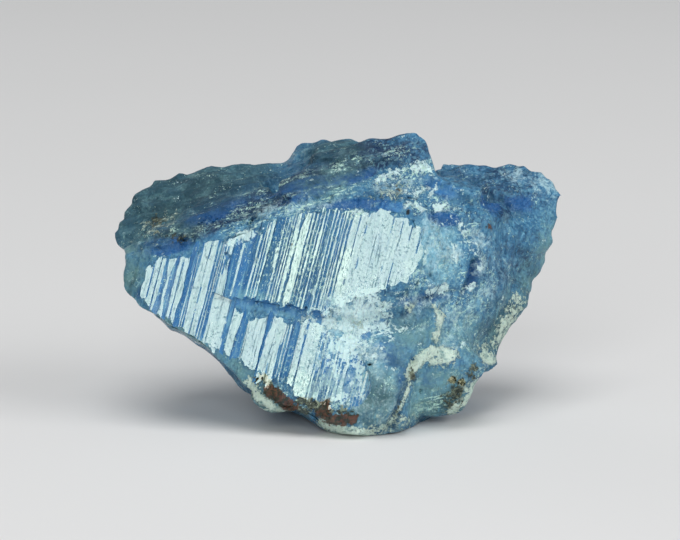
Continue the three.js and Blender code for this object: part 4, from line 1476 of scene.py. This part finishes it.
def makeBrokenStone(colours, patches, patterns, levels, detail):
    material, tree, shader, places = newStoneMaterial("tanzanite", brokenFinish)
    place, layerPlace, facePlace = places["Place"], places["Layer Place"], places["Face Place"]
    layered = mask(tree, "layered")

    def patch(name):
        return patchMask(tree, name, place, patches[name])

    def shown(name, where=place):
        return pattern(tree, where, patterns[name])

    def level(name, value):
        return between(tree, value, levels[name])

    def amount(name, looks=patches):
        return looks[name]["amount"]

    def lay(share, over, strength=1.0):
        # over the colour so far
        return laid(tree, colour, over, share, strength)

    # fine parallel streaks: along the layers on top, along the c axis on the flanks
    lines = linesOf(tree, facePlace, detail["streaks"])
    grainy = noise(tree, layerPlace, scale=2.6, detail=5.0, roughness=0.7)
    streaks = blendValue(tree, layered, centred(tree, lines), centred(tree, grainy))
    streaks = times(tree, streaks, shown("calm"))
    body = useGroup(tree, cloudyBlue, {"Place": place, "Tone": mask(tree, "tone"), "Streaks": streaks,
                                       "Dark": colours["dark"], "Blue": colours["blue"],
                                       "Haze": colours["haze"], **detail["clouds"]})
    colour = body["Color"]

    # small breaks with painted light and shade: some cells painted dark as if shaded, some pale as if lit
    top = grainOf(tree, layerPlace, detail["top"])
    side = grainOf(tree, places["Grain Place"], detail["side"])
    fine = grainOf(tree, place, detail["fine"])
    chance = blendValue(tree, layered, side["Chance"], top["Chance"])
    for breaks, grit, over in (("paintedShadeBreaks", "paintedShadeGrit", "dark"), ("paintedLightBreaks", "paintedLightGrit", "haze")):
        share = larger(tree, times(tree, level(breaks, chance), amount(breaks, levels)),
                       times(tree, level(grit, fine["Chance"]), amount(grit, levels)))
        colour = lay(share, colours[over])

    # deep and clear places, sage ones, dust with painted shade on the far lobes, worn edges, and painted
    # shade in the hollows
    deep = patch("deep")
    colour = lay(deep, colours["deep"], amount("deep"))
    clearColour = laid(tree, colours["facet"], colours["haze"], shown("hazy"), amount("hazy", patterns))
    colour = lay(patch("clear"), clearColour, amount("clear"))
    mottle = noise(tree, place, scale=1.1, detail=6.0, roughness=0.7, distortion=0.6)
    colour = lay(times(tree, patch("sage"), level("sageMottle", mottle)), colours["sage"])
    # patches of dust, some of them painted shade on the far lobes
    dustAndShade = patch("dustAndShade")
    dustAndShadeColour = laid(tree, colours["dustAndShade"], colours["sage"], level("dustMottle", mottle),
                      amount("dustMottle", levels))
    colour = lay(dustAndShade, dustAndShadeColour, amount("dustAndShade"))
    edges = detail["edges"]
    bruisedAndShaded = useGroup(tree, wornEdgeAndShade, {"Edge": mask(tree, "edge"), "Place": place,
                                        "Amount": edges["reach"]})
    colour = lay(bruisedAndShaded["Mask"], colours["frost"], edges["frost"])
    # painted shade: the hollows are painted dark
    colour = lay(bruisedAndShaded["Painted Hollow Shade"], colours["dark"], edges["hollow"])
    # painted shade: the grooves are darkened
    colour = lay(patch("groove"), colours["dark"], amount("groove"))
    frost = times(tree, patch("frost"), shown("frosty"))
    colour = lay(frost, colours["frost"], amount("frost"))
    white = times(tree, patch("white"), shown("thin"))
    colour = lay(white, colours["white"], amount("white"))

    # painted glints of splinters that catch the light lie thickest on the broken top, and none in the deep
    # places
    notDeep = minus(tree, 1.0, deep)
    shine = times(tree, patch("glitter"), notDeep)
    wisps = times(tree, shown("wisps", layerPlace), shine)
    colour = lay(wisps, colours["sage"], amount("wisps", patterns))
    thick = flecksOf(tree, layerPlace, detail["thickFlecks"])
    small = flecksOf(tree, place, detail["smallFlecks"])
    few = times(tree, flecksOf(tree, place, detail["fewFlecks"]), notDeep, amount("fewFlecks", detail))
    flecks = larger(tree, times(tree, larger(tree, thick, small), shine), few)
    colour = lay(flecks, colours["spark"], amount("thickFlecks", detail))

    # pale and dark scratches along the c axis on the flanks
    scratches = linesOf(tree, facePlace, detail["scratches"])
    flank = times(tree, minus(tree, 1.0, layered), notDeep)
    for name, over in (("paleScratch", "haze"), ("darkScratch", "dark")):
        share = times(tree, level(name, scratches), flank)
        colour = lay(share, colours[over], amount(name, levels))

    # dust and pale crusts on the sides that turn away
    away = mask(tree, "elsewhere")
    colour = lay(times(tree, away, shown("stain")), colours["dustAndShade"], amount("stain", patterns))
    colour = lay(times(tree, away, shown("pale")), colours["cream"], amount("pale", patterns))

    # crusts, rust, metal grains and pits
    speck = noise(tree, place, scale=6.0, detail=4.0, roughness=0.75)
    cream, crust, rust, metal = patch("cream"), patch("crust"), patch("rust"), patch("grain")
    creamColour = blend(tree, shown("creamy"), colours["sage"], colours["cream"])
    creamColour = laid(tree, creamColour, colours["crustDark"], level("creamSpeck", speck),
                       amount("creamSpeck", levels))
    colour = lay(cream, creamColour, amount("cream"))
    crustColour = blend(tree, level("crustSpeck", speck), colours["crustDark"], colours["crustPale"])
    colour = lay(crust, crustColour, amount("crust"))
    rustColour = blend(tree, shown("rusty"), colours["crustDark"], colours["rust"])
    rustColour = laid(tree, rustColour, colours["ochre"], level("rustSpeck", speck),
                      amount("rustSpeck", levels))
    colour = lay(rust, rustColour, amount("rust"))
    # the metal grains' cells are painted dark or bright as painted glints, beside their real metallic gloss
    metalColour = blend(tree, level("metalGlint", fine["Chance"]), colours["crustDark"], colours["grain"])
    colour = lay(metal, metalColour)
    # painted shade: the pits are painted near black
    colour = lay(patch("pit"), colours["pit"])
    tree.links.new(colour, shader.inputs["Base Color"])

    # some breaks are glossier than others, and what lies on the stone is dull
    gloss = detail["roughness"]
    roughness = level("glossyBreaks", chance)
    roughness = plus(tree, roughness, times(tree, larger(tree, frost, white), gloss["pale"]))
    dull = larger(tree, larger(tree, cream, crust), larger(tree, rust, dustAndShade))
    roughness = plus(tree, roughness, times(tree, dull, gloss["crusted"]))
    roughness = minus(tree, roughness, times(tree, metal, gloss["metal"]), clamp=True)
    tree.links.new(roughness, shader.inputs["Roughness"])
    tree.links.new(times(tree, metal, detail["metallic"]), shader.inputs["Metallic"])

    relief = detail["relief"]
    facets = blendValue(tree, layered, side["Height"], top["Height"])
    height = plus(tree, times(tree, facets, relief["breaks"]),
                  times(tree, fine["Height"], relief["fine"]),
                  times(tree, streaks, relief["streaks"]),
                  times(tree, noise(tree, place, scale=7.0, detail=4.0, roughness=0.65), relief["grit"]),
                  times(tree, larger(tree, white, cream), relief["pale"]),
                  times(tree, larger(tree, crust, rust), times(tree, speck, relief["crusted"])),
                  times(tree, cream, times(tree, speck, relief["cream"])))
    bump = addNode(tree, "Bump", {"Height": height, "Strength": relief["strength"], "Distance": mm})
    tree.links.new(bump.outputs[0], shader.inputs["Normal"])
    return material


# the striated prism face

# the bright strips mirror the key light, partly in the stone and partly in the coat
prismFinish = {"Specular IOR Level": 0.5, "Specular Tint": (0.82, 1.0, 0.74, 1), "Coat IOR": 1.8,
               "Coat Roughness": 0.1}

prismPatches = dict(
    glitter=dict(size=1.0, ragged=0.5, crumbs=0.3, soft=0.4),
    frost=dict(size=0.8, ragged=0.7, crumbs=0.6, soft=0.12, amount=0.4),
    white=dict(size=0.5, ragged=0.8, crumbs=0.9, soft=0.10, amount=0.8),
    crust=dict(size=0.6, ragged=0.7, crumbs=0.8, soft=0.12, amount=0.9),
    rust=dict(size=0.6, ragged=0.5, crumbs=0.9, soft=0.12, amount=0.9),
    pit=dict(size=0.3, ragged=0.2, crumbs=0.2, soft=0.25),
)

prismPatterns = dict(
    specks=dict(scale=7.0, detail=3.0, roughness=0.8, low=0.57, high=0.64),
    cloud=dict(scale=0.9, detail=4.0, roughness=0.65, distortion=0.5, low=0.42, high=0.66),
)

prismLevels = dict(
    paleLines=dict(low=0.54, high=0.68, amount=0.8),
    darkHair=dict(low=0.45, high=0.34, amount=0.6),
    groove=dict(low=0.38, high=0.33),
    faint=dict(low=0.56, high=0.44, amount=0.35),
    brightTeeth=dict(low=0.56, high=0.64, amount=0.75),
    darkTeeth=dict(low=0.44, high=0.36, amount=0.75),
    fewerOnStrips=dict(low=0.0, high=1.0, toLow=1.0, toHigh=0.3),
    gloss=dict(low=0.0, high=1.0, toLow=0.26, toHigh=0.12),         # roughness off and on the strips
)

prismDetail = dict(
    lines=dict(pitch=0.10, length=2.2),
    hair=dict(pitch=0.09, length=2.6),
    teeth=dict(pitch=0.09, length=0.28),
    glints=dict(size=0.15, share=0.16),
    clouds={"Cloud Size": 3.2, "Contrast": 0.7, "Grit": 0.5},
    tone=0.4,
    facets=dict(shine=0.5, glints=0.8),         # how much of each colour is laid on
    strips=dict(cloud=0.3, specks=0.6, hair=0.7, shine=0.55, over=0.95),
    granular=dict(least=0.9, more=0.08),        # where the teeth come oftener
    roughness=dict(specks=0.2, matte=0.3),
    relief=dict(lines=0.006, hair=-0.012, grit=0.014, specks=0.012, teeth=0.03, strength=0.6),
)


def makePrismMaterial(colours, patches, patterns, levels, detail):
    material, tree, shader, places = newStoneMaterial("tanzanitePrismFace", prismFinish)
    place, facePlace = places["Place"], places["Face Place"]
    flat = mask(tree, "flatStrip")

    def patch(name):
        return patchMask(tree, name, place, patches[name])

    def level(name, value):
        return between(tree, value, levels[name])

    def amount(name, looks=patches):
        return looks[name]["amount"]

    def lay(share, over, strength=1.0):
        # over the colour so far
        return laid(tree, colour, over, share, strength)

    # between the strips, facets of clear blue
    lines, hair, teeth = (linesOf(tree, facePlace, detail[name]) for name in ("lines", "hair", "teeth"))
    facets = detail["facets"]
    # the tone carries painted light and shade as well as the stone's own tone
    tone = times(tree, mask(tree, "tone"), detail["tone"])
    body = useGroup(tree, cloudyBlue, {"Place": place, "Tone": tone, "Streaks": centred(tree, lines),
                                       "Dark": colours["facetDark"], "Blue": colours["facet"],
                                       "Haze": colours["haze"], **detail["clouds"]})
    colour = body["Color"]
    colour = lay(level("paleLines", lines), colours["haze"], amount("paleLines", levels))
    colour = lay(level("darkHair", hair), colours["facetDark"], amount("darkHair", levels))
    shine = patch("glitter")
    colour = lay(shine, colours["facetTeal"], facets["shine"])
    # painted glints on the facets
    colour = lay(flecksOf(tree, place, detail["glints"]), colours["spark"], facets["glints"])

    # the flat strips are painted pale, partly as painted reflection of the key light that they mirror, with
    # specks, hairlines, cloudy ends and painted glints where they glitter
    strips = detail["strips"]
    groove = level("groove", hair)
    specks = pattern(tree, place, patterns["specks"])
    cloud = pattern(tree, place, patterns["cloud"])
    strip = laid(tree, colours["strip"], colours["stripBlue"], cloud, strips["cloud"])
    strip = laid(tree, strip, colours["facetTeal"], specks, strips["specks"])
    strip = laid(tree, strip, colours["facetTeal"], groove, strips["hair"])
    strip = laid(tree, strip, colours["spark"], shine, strips["shine"])
    colour = lay(flat, strip, strips["over"])

    # granular parts: bright and dark teeth along the striae, the bright ones painted glints
    granular = detail["granular"]
    often = times(tree, minus(tree, shine, granular["least"]), granular["more"])
    bright = times(tree, level("brightTeeth", plus(tree, teeth, often)), level("fewerOnStrips", flat))
    dark = level("darkTeeth", minus(tree, teeth, often))
    colour = lay(dark, colours["facetTeal"], amount("darkTeeth", levels))
    colour = lay(bright, colours["spark"], amount("brightTeeth", levels))

    # what lies on the face
    frost, white = patch("frost"), patch("white")
    colour = lay(frost, colours["frost"], amount("frost"))
    colour = lay(white, colours["white"], amount("white"))
    colour = lay(patch("crust"), colours["crustPale"], amount("crust"))
    colour = lay(patch("rust"), colours["rust"], amount("rust"))
    # painted shade: the pits are painted near black
    colour = lay(patch("pit"), colours["pit"])
    tree.links.new(colour, shader.inputs["Base Color"])

    gloss = detail["roughness"]
    matte = larger(tree, larger(tree, frost, white), larger(tree, dark, groove))
    roughness = level("gloss", flat)
    roughness = plus(tree, roughness, times(tree, specks, gloss["specks"]))
    roughness = plus(tree, roughness, times(tree, matte, gloss["matte"]), clamp=True)
    tree.links.new(roughness, shader.inputs["Roughness"])

    # the coat lies on the strips alone, broken by specks, hairlines and faint lines
    faint = times(tree, level("faint", lines), amount("faint", levels))
    broken = larger(tree, larger(tree, specks, matte), faint)
    tree.links.new(times(tree, flat, minus(tree, 1.0, broken)), shader.inputs["Coat Weight"])

    relief = detail["relief"]
    height = plus(tree, times(tree, lines, relief["lines"]), times(tree, groove, relief["hair"]),
                  times(tree, noise(tree, place, scale=5.0, detail=4.0, roughness=0.6), relief["grit"]))
    height = minus(tree, height, times(tree, specks, relief["specks"]))
    height = plus(tree, height, times(tree, teeth, shine, relief["teeth"]))
    bump = addNode(tree, "Bump", {"Height": height, "Strength": relief["strength"], "Distance": mm})
    tree.links.new(bump.outputs[0], shader.inputs["Normal"])
    return material


def makeFloorMaterial():
    material, tree, shader = newMaterial("paleFloor")
    here = addNode(tree, "TexCoord").outputs["Object"]
    colour = blend(tree, noise(tree, here, 9.0), (0.76, 0.76, 0.755, 1), (0.80, 0.80, 0.80, 1))
    tree.links.new(colour, shader.inputs["Base Color"])
    shader.inputs["Roughness"].default_value = 0.85
    return material


brokenStone = makeBrokenStone(stoneColours, brokenPatches, brokenPatterns, brokenLevels, brokenDetail)
striatedFace = makePrismMaterial(stoneColours, prismPatches, prismPatterns, prismLevels, prismDetail)
print("materials made")


# the stone is put together

def makeStone():
    node = frame["nodes"]["tanzanite_crystal"]
    stone = fineCopy(node, stoneSettings)
    front = frontTree(stone.data)
    print("fine mesh:", len(stone.data.vertices), "points")
    rest = normalsOf(stone.data)
    wearDown(stone.data, wornShare(pointsOf(stone.data), stoneSettings, front), stoneSettings["wearPasses"])
    breakSurface(stone.data, stoneSettings, front)
    nudgeShape(stone.data)
    print("surface broken")
    raiseFace(stone.data, frontFace, prismFace, rest)
    raiseFace(stone.data, rearFace, prismFace, rest)
    stone.data.materials.append(brokenStone)
    stone.data.materials.append(striatedFace)

    def ledge(a):
        line = np.array(ledgeLine)
        return np.interp(a, line[:, 0], line[:, 1])

    def aboveLedge(a):
        return ledge(a) + 0.01      # the two cuts overlap a little

    def straight(height):
        return lambda a: a * 0 + height

    cuts = [
        ("leftCut", leftStriae, 5, straight(1.6), straight(9.6), 0.0, frontFace),
        ("lowerCut", lowerStriae, 3, straight(-1.2), aboveLedge, 0.0, frontFace),
        ("upperCut", upperStriae, 8, ledge, straight(13.4), prismFace["step"], frontFace),
        ("rearCut", anyStriae(-2.2, 9.6, 12), 14, straight(3.6), straight(12.4), 0.0, rearFace),
    ]
    cutters = [makeCutter(*cut, prismFace, striatedFace) for cut in cuts]
    for cutter in cutters:
        cut = stone.modifiers.new(cutter.name, "BOOLEAN")
        cut.operation = "DIFFERENCE"
        cut.solver = "MANIFOLD"
        cut.object = cutter
    stone = applied(stone, "tanzaniteStone")
    for cutter in cutters:
        bpy.data.objects.remove(cutter)
    stone.data.calc_loop_triangles()
    print("prism face cut:", len(stone.data.loop_triangles), "triangles")
    finishMesh(stone.data, stoneSettings, front)
    return stone


stone = makeStone()
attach(stone, "root")
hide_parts("tanzanite_crystal")
print("stone placed")


# floor and light

studio = dict(
    world=(0.80, 0.82, 0.84, 1),
    worldStrength=0.24,
    aim=(0, 0, 0.008),
    floorReach=4.0,
    # area lights: place and size in metres, power in watts. The prism face mirrors the key light
    keyLight=dict(place=(-0.083, -0.438, 0.240), size=0.25, power=0.74),
    fillLight=dict(place=(0.47, -0.22, 0.28), size=0.35, power=1.35),
    topLight=dict(place=(-0.05, -0.10, 0.60), size=0.40, power=1.8),
    backLight=dict(place=(-0.35, 0.45, 0.25), size=0.30, power=0.25),
)


def softLight(name, aim, place, size, power):
    data = bpy.data.lights.new(name, "AREA")
    data.shape = "SQUARE"
    data.size = size
    data.energy = power
    light = bpy.data.objects.new(name, data)
    light.location = place
    light.rotation_euler = (Vector(aim) - Vector(place)).to_track_quat("-Z", "Y").to_euler()
    bpy.context.scene.collection.objects.link(light)


def makeStudio(settings):
    world = bpy.data.worlds.new("studio")
    world.use_nodes = True
    backdrop = world.node_tree.nodes["Background"]
    backdrop.inputs["Color"].default_value = settings["world"]
    backdrop.inputs["Strength"].default_value = settings["worldStrength"]
    bpy.context.scene.world = world
    for name in ("keyLight", "fillLight", "topLight", "backLight"):
        softLight(name, settings["aim"], **settings[name])

    mesh = bpy.data.meshes.new("floor")
    reach = settings["floorReach"]
    mesh.from_pydata([(-reach, -reach, 0), (reach, -reach, 0), (reach, reach, 0), (-reach, reach, 0)],
                     [], [(0, 1, 2, 3)])
    mesh.materials.append(makeFloorMaterial())
    floor = bpy.data.objects.new("floor", mesh)
    bpy.context.scene.collection.objects.link(floor)


makeStudio(studio)
bpy.context.scene.view_settings.view_transform = "Standard"
print("studio made")
